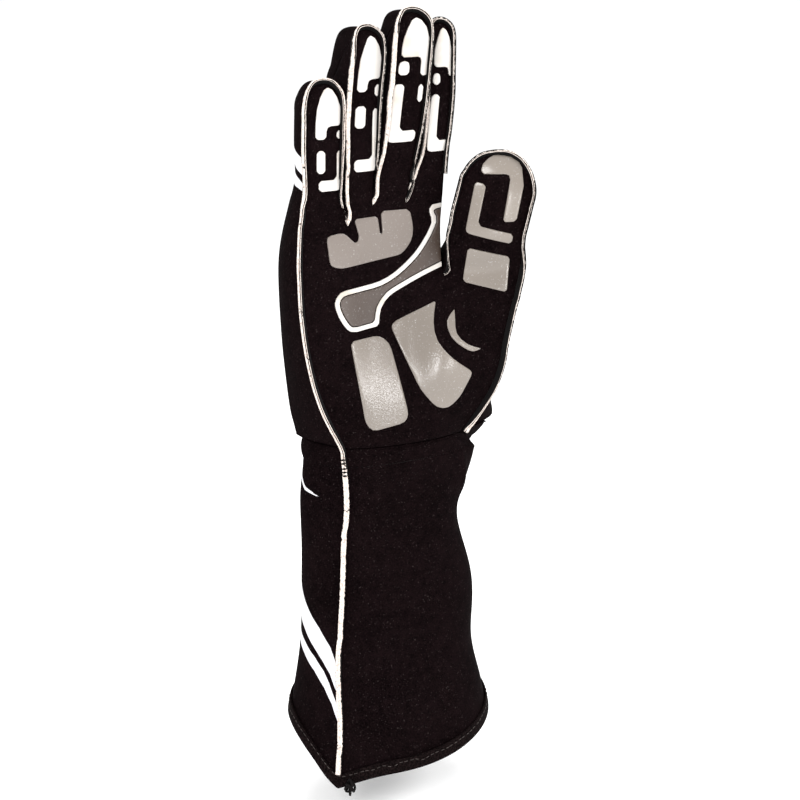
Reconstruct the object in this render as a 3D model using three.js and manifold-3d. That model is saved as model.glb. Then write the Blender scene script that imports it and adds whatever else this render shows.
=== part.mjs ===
// A long-cuffed karting glove for the right hand, as it stands when worn.
// Millimetres, +Z towards the fingertips, palm towards -Y, thumb towards +X.
// The origin is the middle of the wrist hollow.
import * as THREE from 'three';
import { mergeVertices } from 'three/addons/utils/BufferGeometryUtils.js';
import Module from 'manifold-3d';

// Driving sizes
const clothWall = 1.2;
const seamGap = 0.4;
const stripBack = 0.25;
const crotchGap = 0.1;
const wristHeight = 17;
const palmLength = 103;
const palmHalfWidth = 34;
const palmHalfDepth = 15;
const fingerLength = 73.5;
const fingerHalfWidth = 8.3;
const fingerHalfDepth = 9.2;
const fingerCrown = 1.4;
const baseNarrowing = 0.84;
const knuckleCrown = 2.6;
const backTaper = 1.2;
const sideCrown = 0.5;
const outerSideCrown = 1.6;
const handSideCrown = 2.2;
const thumbLength = 49.8;
const thumbHalfWidth = 16;
const thumbHalfDepth = 8.6;
const thumbCrown = 3;
const cuffLength = 151;
const wristHalfWidth = 39;
const wristHalfDepth = 20;
const seamHeight = 2.4;
const seamWidth = 1.5;
const bindingHeight = 5;
const bindingWall = 0.9;
const knotRadius = 3;
const gripGap = 0.3;
const gripWall = 0.6;
const gripFlatness = 0.13;
const stripFlatness = 0.02;

// How finely the cloth is faceted
const cellsPerDigit = 4;
const wrapCells = 3;
const palmRows = 10;
const thumbCrotchRow = 7;
const digitRows = 7;
const tipAngles = [28, 52, 70];
const overTipAngles = [34, 68, 90];
const tipFullness = 0.78;
const tipRise = 1.4;
const cuffRows = 11;
const cuffPalmCells = 8;
const carriedShare = 0.14;

// The hand from the wrist seam to the crotches. Each row is a section: its height is a share of the
// palm's length, and each place [across, depth] is a share of the palm's half width and half depth.
// ulnar and thumb are the side seams, the others the lines that end in the crotch beside that finger.
const palmSections = [
  { height: 0.00, ulnar: [-0.82, -1.05], little: [-0.52, -1.28], ring: [-0.22, -1.37],
    middle: [0.15, -1.38], index: [0.53, -1.25], thumb: [0.88, -0.92] },
  { height: 0.22, ulnar: [-1.10, -0.95], little: [-0.70, -1.20], ring: [-0.36, -1.27],
    middle: [0.04, -1.37], index: [0.47, -1.62], thumb: [1.19, -1.50] },
  { height: 0.46, ulnar: [-1.26, -0.92], little: [-0.79, -1.10], ring: [-0.42, -1.06],
    middle: [0.02, -1.12], index: [0.48, -1.50], thumb: [1.29, -1.77] },
  { height: 0.70, ulnar: [-1.32, -0.92], little: [-0.80, -1.03], ring: [-0.44, -0.96],
    middle: [0.04, -0.93], index: [0.57, -0.93], thumb: [1.43, -1.96] },
  { height: 0.86, ulnar: [-1.31, -0.87], little: [-0.76, -0.95], ring: [-0.41, -0.90],
    middle: [0.07, -0.87], index: [0.56, -0.75], thumb: [1.47, -2.00] },
  { height: 1.00, ulnar: [-1.26, -0.80], little: [-0.70, -0.80], ring: [-0.36, -0.80],
    middle: [0.10, -0.80], index: [0.62, -0.66], thumb: [1.48, -2.00] },
];
const backSections = [
  { height: 0.00, ulnar: [-1.16, 0.68], little: [-0.67, 1.10], ring: [-0.24, 1.22],
    middle: [0.26, 1.22], index: [0.86, 1.02], thumb: [1.54, 0.04] },
  { height: 0.22, ulnar: [-1.27, 0.58], little: [-0.72, 0.98], ring: [-0.35, 1.12],
    middle: [0.09, 1.12], index: [0.64, 0.88], thumb: [1.37, -0.26] },
  { height: 0.46, ulnar: [-1.34, 0.52], little: [-0.81, 0.90], ring: [-0.41, 1.02],
    middle: [0.06, 1.02], index: [0.60, 0.66], thumb: [1.40, -0.60] },
  { height: 0.70, ulnar: [-1.38, 0.50], little: [-0.82, 0.80], ring: [-0.42, 0.92],
    middle: [0.09, 0.88], index: [0.70, 0.28], thumb: [1.60, -0.98] },
  { height: 0.86, ulnar: [-1.34, 0.46], little: [-0.77, 0.70], ring: [-0.39, 0.82],
    middle: [0.13, 0.80], index: [0.72, 0.50], thumb: [1.62, -1.00] },
  { height: 1.00, ulnar: [-1.24, 0.40], little: [-0.68, 0.47], ring: [-0.34, 0.54],
    middle: [0.14, 0.57], index: [0.76, 0.60], thumb: [1.64, -1.00] },
];
const lines = ['ulnar', 'little', 'ring', 'middle', 'index', 'thumb'];
// How high each crotch lies, as a share of the palm's length
const crotchShare = { ulnar: 0.99, little: 0.94, ring: 1.015, middle: 1.01, index: 1.0, thumb: 1.0 };

// The fingers. Base is the height that lengths count from, as a share of the palm's length. Length,
// width and depth are shares of the named finger sizes; mid and tip [across, depth] are shares of the
// palm's half width and half depth; facing is the turn in degrees.
const digits = {
  little: { base: 0.985, length: 0.70, width: 1.00, depth: 0.80, facing: -2, mid: [-0.94, -0.03], tip: [-0.92, -0.03] },
  ring: { base: 1.005, length: 0.95, width: 0.90, depth: 1.18, facing: 8, mid: [-0.475, 0.17], tip: [-0.385, 0.22] },
  middle: { base: 1.025, length: 1.01, width: 1.03, depth: 1.16, facing: 4, mid: [0.09, 0.02], tip: [0.19, 0.02] },
  index: { base: 1.01, length: 0.96, width: 0.71, depth: 0.96, facing: 2, mid: [0.62, 0.27], tip: [0.66, 0.35] },
  thumb: { base: 0.70, length: 1.00, width: 1.00, depth: 1.00, facing: -25, mid: [1.135, -1.08], tip: [1.24, -1.18] },
};
const fingers = ['little', 'ring', 'middle', 'index', 'thumb'];

// The cuff. Each row is a section: drop is a share of the cuff's length below the wrist seam, ulnar
// and radial of the wrist's half width, palm and back of its half depth, and seam is the ulnar seam's
// turn in degrees from the radial side.
const cuffSections = [
  { drop: 0.00, ulnar: 1.06, radial: 1.35, palm: 1.02, back: 0.95, seam: -133 },
  { drop: 0.08, ulnar: 1.12, radial: 1.26, palm: 0.97, back: 0.93, seam: -126 },
  { drop: 0.16, ulnar: 1.06, radial: 0.99, palm: 0.96, back: 0.94, seam: -128 },
  { drop: 0.25, ulnar: 1.05, radial: 0.81, palm: 1.00, back: 0.98, seam: -131 },
  { drop: 0.34, ulnar: 1.04, radial: 0.91, palm: 1.08, back: 1.06, seam: -133 },
  { drop: 0.50, ulnar: 1.05, radial: 1.07, palm: 1.25, back: 1.20, seam: -136 },
  { drop: 0.66, ulnar: 1.08, radial: 1.01, palm: 1.45, back: 1.36, seam: -139 },
  { drop: 0.82, ulnar: 1.18, radial: 1.16, palm: 1.68, back: 1.55, seam: -136 },
  { drop: 1.00, ulnar: 1.34, radial: 1.30, palm: 1.80, back: 1.72, seam: -133 },
];
// The hem's drop round the cuff, as a share of the cuff's length, by degrees from the radial side
const hemDrops = [
  { turn: -240, drop: 0.81 },
  { turn: -180, drop: 0.85 },
  { turn: -165, drop: 0.88 },
  { turn: -146, drop: 0.94 },
  { turn: -134, drop: 1.00 },
  { turn: -124, drop: 0.972 },
  { turn: -90, drop: 0.96 },
  { turn: -75, drop: 0.948 },
  { turn: -45, drop: 0.912 },
  { turn: 0, drop: 0.86 },
  { turn: 60, drop: 0.83 },
  { turn: 120, drop: 0.81 },
];
const radialSeamTurn = 26;
const fullTurn = 360;
// The cells of the hand's back rim, from the thumb side, at which the cuff's back cloth has its columns
const cuffBackCells = [0, 2, 4, 6, 9, 12, 15, 18, 20, 22, 24, 25, 26];
const sectionPower = 0.94;

const wasm = await Module();
wasm.setup();
const radians = THREE.MathUtils.degToRad;
const smooth = (share) => THREE.MathUtils.smoothstep(share, 0, 1);

// A smooth curve through one column, or one place, of a table
function readTable(rows, along, value) {
  const stops = rows.map((row) => row[along]);
  const values = rows.flatMap(value);
  const curve = new THREE.CubicInterpolant(stops, values, values.length / rows.length);
  return (at) => Array.from(curve.evaluate(at));
}

function lineReader(sections, line) {
  const place = readTable(sections, 'height', (row) => row[line]);
  return (height) => {
    const [across, depth] = place(height);
    const rise = wristHeight + height * crotchShare[line] * palmLength;
    return new THREE.Vector3(across * palmHalfWidth, depth * palmHalfDepth, rise);
  };
}
const palmLine = Object.fromEntries(lines.map((line) => [line, lineReader(palmSections, line)]));
const backLine = Object.fromEntries(lines.map((line) => [line, lineReader(backSections, line)]));

// Points from one corner to another on a side that swells outwards by its crown
function swollen(from, to, outward, crown, cells) {
  const points = [];
  for (let cell = 0; cell <= cells; cell += 1) {
    const share = cell / cells;
    const point = new THREE.Vector3().lerpVectors(from, to, share);
    points.push(point.addScaledVector(outward, crown * 4 * share * (1 - share)));
  }
  return points;
}

function acrossLines(reader, height, names) {
  const curve = new THREE.CatmullRomCurve3(names.map((name) => reader[name](height)));
  return curve.getPoints((names.length - 1) * cellsPerDigit);
}

// One row of the hand: the palm's points, and the back's from the ulnar seam round to the thumb side
const ulnarward = new THREE.Vector3(-1, 0, 0);
const upward = new THREE.Vector3(0, 0, 1);
const thumbward = new THREE.Vector3(Math.cos(radians(-25)), Math.sin(radians(-25)), 0);
function handRow(row) {
  const height = row / palmRows;
  const withThumb = row <= thumbCrotchRow;
  const names = withThumb ? lines : lines.slice(0, -1);
  const palm = acrossLines(palmLine, height, names);
  const back = acrossLines(backLine, height, names);
  const ulnarSide = swollen(palm[0], back[0], ulnarward, handSideCrown, wrapCells);
  back.unshift(...ulnarSide.slice(0, -1));
  if (withThumb) {
    const radialSide = swollen(back.at(-1), palm.at(-1), thumbward, handSideCrown, wrapCells);
    back.push(...radialSide.slice(1));
  }
  return { palm, back };
}

// The frame of a digit: centre line, half width and half depth at a share of its length
function digitFrame(name) {
  const row = digits[name];
  const isThumb = name === 'thumb';
  const baseHeight = isThumb ? thumbCrotchRow / palmRows : 1;
  const left = lines[fingers.indexOf(name)];
  const right = lines[fingers.indexOf(name) + 1];
  const base = {
    palmLeft: palmLine[left](baseHeight),
    palmRight: palmLine[right](baseHeight),
    backLeft: backLine[left](baseHeight),
    backRight: backLine[right](baseHeight),
  };
  const corners = Object.values(base);
  const middle = corners.reduce((sum, corner) => sum.add(corner), new THREE.Vector3());
  middle.divideScalar(corners.length).setZ(wristHeight + row.base * palmLength);
  const length = row.length * (isThumb ? thumbLength : fingerLength);
  const halfWidth = row.width * (isThumb ? thumbHalfWidth : fingerHalfWidth);
  const halfDepth = row.depth * (isThumb ? thumbHalfDepth : fingerHalfDepth);
  const straight = length - halfWidth * (isThumb ? 0.95 : 1);
  const place = ([across, depth], rise) => new THREE.Vector3(
    across * palmHalfWidth, depth * palmHalfDepth, middle.z + rise);
  const centre = new THREE.CatmullRomCurve3([
    middle, place(row.mid, straight / 2), place(row.tip, straight),
  ]);
  const frameAt = (share) => {
    const turn = radians(row.facing) * smooth(share / 0.4);
    return {
      centre: centre.getPoint(share),
      across: new THREE.Vector3(Math.cos(turn), Math.sin(turn), 0),
      front: new THREE.Vector3(Math.sin(turn), -Math.cos(turn), 0),
    };
  };
  return { name, isThumb, base, middle, length, straight, halfWidth, halfDepth, frameAt };
}

// A point of a digit by its distances across, forward and above the frame's centre
function digitPoint(frame, across, forward, up = 0) {
  return frame.centre.clone()
    .addScaledVector(frame.across, across)
    .addScaledVector(frame.front, forward)
    .add(new THREE.Vector3(0, 0, up));
}

// The four corners of a digit at one of its straight rows, eased out of the hand's own corners
function digitCorners(digit, row) {
  const share = row / digitRows;
  const frame = digit.frameAt(share);
  const { halfDepth } = digit;
  const halfWidth = digit.halfWidth * (digit.isThumb ? 1 : baseNarrowing + (1 - baseNarrowing) * smooth(share / 0.6));
  const own = {
    palmLeft: digitPoint(frame, -halfWidth, halfDepth),
    palmRight: digitPoint(frame, halfWidth, halfDepth),
    backLeft: digitPoint(frame, -halfWidth + backTaper, -halfDepth),
    backRight: digitPoint(frame, halfWidth - backTaper, -halfDepth),
  };
  // Towards the tip each side strip narrows, as the back seam comes forward to the front one
  const forward = 0.7 * smooth((share - 0.6) / 0.4);
  if (digit.name !== 'little') own.backLeft.lerp(own.palmLeft, forward);
  if (!digit.isThumb) own.backRight.lerp(own.palmRight, forward);
  const eased = smooth(share / 0.32);
  const shift = frame.centre.clone().sub(digit.middle);
  const corners = {};
  for (const corner of Object.keys(own)) {
    corners[corner] = digit.base[corner].clone().add(shift).lerp(own[corner], eased);
  }
  return { ...corners, own, frame, shift, eased };
}

// The seam round the tip: left and right corners at one of the tip's angles
function tipCorners(digit, angle) {
  const frame = digit.frameAt(1);
  const reach = digit.halfWidth * Math.cos(radians(angle)) ** 0.9;
  const up = (digit.length - digit.straight) * Math.sin(radians(angle));
  const forward = digit.halfDepth * (1 - 0.45 * (1 - Math.cos(radians(angle))));
  return {
    left: digitPoint(frame, -reach, forward, up),
    right: digitPoint(frame, reach, forward, up),
    frame, reach, up, forward,
  };
}

// The arc that closes the top of the seam, from the left corner of the last tip row to the right one.
// A row with more cells than the arc meets some of its points twice.
function tipArc(digit, cells = cellsPerDigit) {
  const corners = tipCorners(digit, tipAngles.at(-1));
  const top = digit.length - digit.straight - corners.up;
  const arc = swollen(corners.left, corners.right, upward, top, cellsPerDigit);
  return Array.from({ length: cells + 1 }, (_, cell) => arc[Math.round(cell * cellsPerDigit / cells)]);
}

// A digit's row, eased out of the hand's row below it
function easedRow(digit, foot, points, row) {
  const { shift, eased } = digitCorners(digit, row);
  return points.map((point, cell) => foot[cell].clone().add(shift).lerp(point, eased));
}

// The rows of a digit's front, from the crotch row to the arc over the tip
function frontRows(digit, foot) {
  const crown = digit.isThumb ? thumbCrown : fingerCrown;
  const rows = [];
  for (let row = 1; row <= digitRows; row += 1) {
    const { own, frame } = digitCorners(digit, row);
    const points = swollen(own.palmLeft, own.palmRight, frame.front, crown, cellsPerDigit);
    rows.push(easedRow(digit, foot, points, row));
  }
  for (const angle of tipAngles.slice(0, -1)) {
    const corners = tipCorners(digit, angle);
    const rest = crown * Math.cos(radians(angle));
    rows.push(swollen(corners.left, corners.right, corners.frame.front, rest, cellsPerDigit));
  }
  rows.push(tipArc(digit, cellsPerDigit));
  return rows;
}

// A row that runs round a digit's back like a deep U, from one seam to the other
function aroundBack(left, right, deepest, cells) {
  const middle = left.clone().add(right).multiplyScalar(0.5);
  const points = [];
  for (let cell = 0; cell <= cells; cell += 1) {
    const turn = (cell / cells) * Math.PI;
    const aside = Math.sign(Math.cos(turn)) * Math.abs(Math.cos(turn)) ** 0.75;
    const deep = Math.sin(turn) ** 0.75;
    const point = middle.clone().lerp(deepest, deep);
    points.push(point.addScaledVector(right.clone().sub(left), -aside / 2));
  }
  points[0].copy(left);
  points[cells].copy(right);
  return points;
}

// The rows of a digit's back. The back cloth of the little finger and the thumb also wraps the
// outer side, as far as the seam at the front.
function backRows(digit, foot) {
  const wrapsLeft = digit.name === 'little';
  const wrapsRight = digit.isThumb;
  const cells = cellsPerDigit + (wrapsLeft || wrapsRight ? wrapCells : 0);
  const rows = [];
  for (let row = 1; row <= digitRows; row += 1) {
    const { own, frame } = digitCorners(digit, row);
    const behind = digitPoint(frame, 0, -digit.halfDepth - knuckleCrown);
    const across = aroundBack(own.backLeft, own.backRight, behind, cellsPerDigit);
    if (wrapsLeft) {
      const side = swollen(own.palmLeft, own.backLeft, frame.across.clone().negate(), outerSideCrown, wrapCells);
      across.unshift(...side.slice(0, -1));
    }
    if (wrapsRight) {
      const side = swollen(own.backRight, own.palmRight, frame.across, outerSideCrown, wrapCells);
      across.push(...side.slice(1));
    }
    rows.push(easedRow(digit, foot, across, row));
  }
  const overTip = digit.length - digit.straight;
  const forwardTop = tipCorners(digit, tipAngles.at(-1)).forward;
  tipAngles.slice(0, -1).forEach((angle, step) => {
    const { left, right, frame } = tipCorners(digit, angle);
    const over = radians(overTipAngles[step]);
    const back = digit.halfDepth + knuckleCrown;
    const fullness = digit.isThumb ? 1 : tipFullness;
    const forward = forwardTop - (forwardTop + back) * Math.cos(over) ** fullness;
    const raised = digit.isThumb ? 0 : tipRise * Math.sin(2 * over);
    const deepest = digitPoint(frame, 0, forward, overTip * Math.sin(over) ** fullness + raised);
    rows.push(aroundBack(left, right, deepest, cells));
  });
  rows.push(tipArc(digit, cells));
  return rows;
}

// A net of cloth: points that are shared by place, and its faces seen from outside
class ClothNet {
  constructor() {
    this.points = [];
    this.faces = [];
    this.byPlace = new Map();
  }

  static placeOf(point) {
    return point.toArray().map((value) => value.toFixed(3)).join(' ');
  }

  point(at) {
    const place = ClothNet.placeOf(at);
    if (!this.byPlace.has(place)) {
      this.byPlace.set(place, this.points.length);
      this.points.push(at.clone());
    }
    return this.byPlace.get(place);
  }

  addRows(rows, outwardBack = false) {
    for (let row = 0; row + 1 < rows.length; row += 1) {
      for (let cell = 0; cell + 1 < rows[row].length; cell += 1) {
        const corners = [rows[row][cell], rows[row][cell + 1], rows[row + 1][cell + 1], rows[row + 1][cell]];
        const face = corners.map((corner) => this.point(corner));
        if (outwardBack) face.reverse();
        const kept = face.filter((corner, place) => corner !== face[(place + 1) % face.length]);
        if (kept.length > 2) this.faces.push(kept);
      }
    }
  }

  // The outward normal at every point
  normals() {
    const normals = this.points.map(() => new THREE.Vector3());
    for (const face of this.faces) {
      const corners = face.map((corner) => this.points[corner]);
      const diagonal = corners[2].clone().sub(corners[0]);
      const other = (corners[3] ?? corners[0]).clone().sub(corners[1]);
      const normal = diagonal.cross(other).normalize();
      for (const corner of face) normals[corner].add(normal);
    }
    return normals.map((normal) => normal.normalize());
  }

  // The edges that only one face has, each from its start to its end
  rim() {
    const edges = new Map();
    for (const face of this.faces) {
      face.forEach((start, place) => {
        const end = face[(place + 1) % face.length];
        const twin = `${end} ${start}`;
        if (edges.has(twin)) edges.delete(twin);
        else edges.set(`${start} ${end}`, [start, end]);
      });
    }
    return [...edges.values()];
  }
}

function geometryOf(points, triangles) {
  const geometry = new THREE.BufferGeometry();
  geometry.setAttribute('position', new THREE.Float32BufferAttribute(points.flatMap((point) => point.toArray()), 3));
  geometry.setIndex(triangles.flat());
  geometry.computeVertexNormals();
  return geometry;
}

// A closed body between two copies of a net, joined round the rim
function closedBody(net, outer, inner) {
  const count = net.points.length;
  const triangles = [];
  for (const face of net.faces) {
    for (let corner = 1; corner + 1 < face.length; corner += 1) {
      triangles.push([face[0], face[corner], face[corner + 1]]);
      triangles.push([face[0] + count, face[corner + 1] + count, face[corner] + count]);
    }
  }
  for (const [start, end] of net.rim()) {
    // Both walls of a seam are split along the same diagonal, so neither reaches into the other
    const fromStart = ClothNet.placeOf(net.points[start]) < ClothNet.placeOf(net.points[end]);
    const [low, high] = [start + count, end + count];
    if (fromStart) triangles.push([end, start, high], [start, low, high]);
    else triangles.push([end, start, low], [end, low, high]);
  }
  return geometryOf([...outer, ...inner], triangles);
}

// Where each net's rim meets another's, both walls turn in the same way, so the edges lie face to face
const seamNormals = new Map();
function noteSeams(net) {
  const normals = net.normals();
  const onRim = new Set(net.rim().flat());
  for (const point of onRim) {
    const place = ClothNet.placeOf(net.points[point]);
    if (!seamNormals.has(place)) seamNormals.set(place, []);
    seamNormals.get(place).push(normals[point]);
  }
}

function inwardAt(place, normal) {
  const meeting = seamNormals.get(place) ?? [normal];
  const shared = meeting.reduce((sum, one) => sum.add(one), new THREE.Vector3()).normalize();
  const lean = meeting.reduce((sum, one) => sum + one.dot(shared), 0) / meeting.length;
  return shared.multiplyScalar(-clothWall / Math.max(lean, 0.6));
}

// Draws the rim back from the seam line by half the gap
function drawnBack(net, normals, by = seamGap / 2) {
  const shifts = new Map();
  for (const [start, end] of net.rim()) {
    const along = net.points[end].clone().sub(net.points[start]);
    for (const corner of [start, end]) {
      const shift = normals[corner].clone().cross(along).normalize();
      shifts.set(corner, (shifts.get(corner) ?? new THREE.Vector3()).add(shift));
    }
  }
  return net.points.map((point, corner) => {
    const shift = shifts.get(corner);
    return shift ? point.clone().addScaledVector(shift.normalize(), by) : point.clone();
  });
}

function clothPanel(net, back = seamGap / 2) {
  const normals = net.normals();
  const outer = drawnBack(net, normals, back);
  const inner = outer.map((point, corner) => {
    const place = ClothNet.placeOf(net.points[corner]);
    return point.clone().add(inwardAt(place, normals[corner]));
  });
  return closedBody(net, outer, inner);
}

// Solids for joining and cutting
function solidOf(geometry) {
  const bare = new THREE.BufferGeometry();
  bare.setAttribute('position', geometry.getAttribute('position'));
  bare.setIndex(geometry.index);
  const merged = mergeVertices(bare, 1e-4);
  return new wasm.Manifold(new wasm.Mesh({
    numProp: 3,
    vertProperties: new Float32Array(merged.getAttribute('position').array),
    triVerts: new Uint32Array(merged.index.array),
  }));
}

function geometryFrom(solid) {
  const mesh = solid.getMesh();
  const geometry = new THREE.BufferGeometry();
  geometry.setAttribute('position', new THREE.Float32BufferAttribute(mesh.vertProperties, 3));
  geometry.setIndex(Array.from(mesh.triVerts));
  geometry.computeVertexNormals();
  return geometry;
}

const largest = (solid) => solid.decompose().reduce((best, one) => (one.volume() > best.volume() ? one : best));

// The hand's nets
const digitList = fingers.map(digitFrame);
const handRows = Array.from({ length: palmRows + 1 }, (_, row) => handRow(row));
const palmNet = new ClothNet();
const backNet = new ClothNet();
const shorter = (rows, from, to) => rows.map((row) => row.slice(from, to));
const fingerCells = 4 * cellsPerDigit;
palmNet.addRows(shorter(handRows.map((row) => row.palm), 0, fingerCells + 1));
palmNet.addRows(shorter(handRows.slice(0, thumbCrotchRow + 1).map((row) => row.palm), fingerCells, undefined));
backNet.addRows(shorter(handRows.map((row) => row.back), 0, wrapCells + fingerCells + 1), true);
backNet.addRows(
  shorter(handRows.slice(0, thumbCrotchRow + 1).map((row) => row.back), wrapCells + fingerCells, undefined), true);
digitList.forEach((digit, place) => {
  const foot = handRows[digit.isThumb ? thumbCrotchRow : palmRows];
  const start = place * cellsPerDigit;
  const palmFoot = foot.palm.slice(start, start + cellsPerDigit + 1);
  palmNet.addRows([palmFoot, ...frontRows(digit, palmFoot)]);
  const backStart = place === 0 ? 0 : wrapCells + start;
  const backEnd = digit.isThumb ? undefined : wrapCells + start + cellsPerDigit + 1;
  const backFoot = foot.back.slice(backStart, backEnd);
  backNet.addRows([backFoot, ...backRows(digit, backFoot)], true);
});

// The side strip between two digits: down the first one's thumb side and up the next one's other side
function sideStrip(place) {
  const [first, second] = [digitList[place], digitList[place + 1]];
  const line = lines[place + 1];
  const crotchRow = second.isThumb ? thumbCrotchRow : palmRows;
  const rows = [];
  const cells = 2;
  const pointed = (point) => new Array(cells + 1).fill(point);
  rows.push(pointed(tipCorners(first, tipAngles[0]).right));
  for (let row = digitRows; row >= 1; row -= 1) {
    const { palmRight, backRight, frame, eased } = digitCorners(first, row);
    rows.push(swollen(palmRight, backRight, frame.across, sideCrown * eased, cells));
  }
  for (let row = palmRows; row > crotchRow; row -= 1) {
    const height = row / palmRows;
    rows.push(swollen(palmLine[line](height), backLine[line](height), thumbward, sideCrown, cells));
  }
  const height = crotchRow / palmRows;
  rows.push(swollen(palmLine[line](height), backLine[line](height), new THREE.Vector3(0, 0, -1), sideCrown, cells));
  for (let row = 1; row <= digitRows; row += 1) {
    const { palmLeft, backLeft, frame, eased } = digitCorners(second, row);
    rows.push(swollen(palmLeft, backLeft, frame.across.clone().negate(), sideCrown * eased, cells));
  }
  rows.push(pointed(tipCorners(second, tipAngles[0]).left));
  const net = new ClothNet();
  net.addRows(rows, true);
  return net;
}
const stripNets = [0, 1, 2, 3].map(sideStrip);

// The cuff, from the wrist seam to the hem
const cuffSize = readTable(cuffSections, 'drop', (row) => [row.ulnar, row.radial, row.palm, row.back]);
const seamTurn = readTable(cuffSections, 'drop', (row) => [row.seam]);
const hemDrop = readTable(hemDrops, 'turn', (row) => [row.drop]);
function cuffPoint(turn, share) {
  const hemTurn = THREE.MathUtils.euclideanModulo(turn - hemDrops[0].turn, fullTurn) + hemDrops[0].turn;
  const drop = share * hemDrop(hemTurn)[0];
  const [ulnar, radial, palm, back] = cuffSize(drop);
  const side = Math.cos(radians(turn));
  const front = Math.sin(radians(turn));
  const across = Math.sign(side) * Math.abs(side) ** sectionPower;
  const depth = Math.sign(front) * Math.abs(front) ** sectionPower;
  return new THREE.Vector3(
    across * (side < 0 ? ulnar : radial) * wristHalfWidth,
    depth * (front < 0 ? palm : back) * wristHalfDepth,
    wristHeight - drop * cuffLength);
}

// The cuff's rows between two seams, at some places of the hand's rim; turns gives a row's first and last
function cuffRowsBetween(turns, places, wristRow) {
  const wrist = new THREE.CatmullRomCurve3(wristRow);
  const rows = [];
  for (let row = 0; row <= cuffRows; row += 1) {
    const share = row / cuffRows;
    const [from, to] = turns(share);
    rows.push(places.map((around) => {
      const own = cuffPoint(THREE.MathUtils.lerp(from, to, around), share);
      const carried = wrist.getPoint(around);
      carried.z = own.z;
      return carried.lerp(own, smooth(share / carriedShare));
    }));
  }
  return rows;
}
const cuffPalmPlaces = Array.from({ length: cuffPalmCells + 1 }, (_, cell) => cell / cuffPalmCells);
const cuffPalmRows = cuffRowsBetween((share) => [seamTurn(share)[0], radialSeamTurn], cuffPalmPlaces, handRows[0].palm);
const cuffBackPlaces = cuffBackCells.map((cell) => cell / cuffBackCells.at(-1));
const cuffBackRows = cuffRowsBetween(
  (share) => [radialSeamTurn, seamTurn(share)[0] + fullTurn], cuffBackPlaces, handRows[0].back.toReversed());
const cuffPalmNet = new ClothNet();
const cuffBackNet = new ClothNet();
cuffPalmNet.addRows(cuffPalmRows, true);
cuffBackNet.addRows(cuffBackRows, true);

for (const net of [palmNet, backNet, cuffPalmNet, cuffBackNet, ...stripNets]) noteSeams(net);

// Finishes
const finish = (color, roughness, metalness = 0) => new THREE.MeshStandardMaterial({ color, roughness, metalness });
const blackCloth = finish(0x16110f, 0.92);

const glove = new THREE.Group();
function addPiece(name, geometry, material) {
  const mesh = new THREE.Mesh(geometry, material);
  mesh.name = name;
  glove.add(mesh);
}

const palmCloth = clothPanel(palmNet);
const backCloth = clothPanel(backNet);
addPiece('palm_panel', palmCloth, blackCloth);
addPiece('back_panel', backCloth, blackCloth);
// Deep in a crotch the strip is cut back from the panels' walls
const panelWalls = [palmCloth, backCloth].map(solidOf);
['little_ring_strip', 'ring_middle_strip', 'middle_index_strip', 'thumb_web_strip'].forEach((name, place) => {
  let strip = solidOf(clothPanel(stripNets[place], stripBack));
  for (const wall of panelWalls) strip = strip.subtract(wall).subtract(wall.translate([0, 0, -crotchGap]));
  addPiece(name, geometryFrom(largest(strip).simplify(stripFlatness)), blackCloth);
});
addPiece('cuff_palm_panel', clothPanel(cuffPalmNet), blackCloth);
addPiece('cuff_back_panel', clothPanel(cuffBackNet), blackCloth);

// The seams are sewn on the outside: both cloths' raw edges stand up together as a narrow ridge.
// A ridge runs through stations, each a place on the seam line and the way that the ridge stands.
function standing(at) {
  const meeting = seamNormals.get(ClothNet.placeOf(at));
  return meeting.reduce((sum, one) => sum.add(one), new THREE.Vector3()).normalize();
}
const station = (at, out = standing(at), width = 1) => ({ at, out: out.clone().normalize(), width });

// The room that grips leave round a ridge comes from the same stations, with spare on every side
function raisedSeam(stations, spare = 0) {
  const points = [];
  const triangles = [];
  const foot = seamGap - 6 * spare;
  const top = seamGap + seamHeight + spare;
  stations.forEach(({ at, out, width }, place) => {
    const before = stations[Math.max(place - 1, 0)].at;
    const after = stations[Math.min(place + 1, stations.length - 1)].at;
    const aside = after.clone().sub(before).cross(out).normalize();
    aside.multiplyScalar(width * seamWidth / 2 + spare);
    for (const [side, height] of [[-1, foot], [1, foot], [1, top], [-1, top]]) {
      points.push(at.clone().addScaledVector(out, height).addScaledVector(aside, side));
    }
  });
  const last = points.length - 4;
  for (let ring = 0; ring < last; ring += 4) {
    for (let side = 0; side < 4; side += 1) {
      const next = (side + 1) % 4;
      triangles.push([ring + side, ring + next + 4, ring + next], [ring + side, ring + side + 4, ring + next + 4]);
    }
  }
  triangles.push([0, 1, 2], [0, 2, 3], [last, last + 2, last + 1], [last, last + 3, last + 2]);
  return geometryOf(points, triangles);
}

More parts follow.
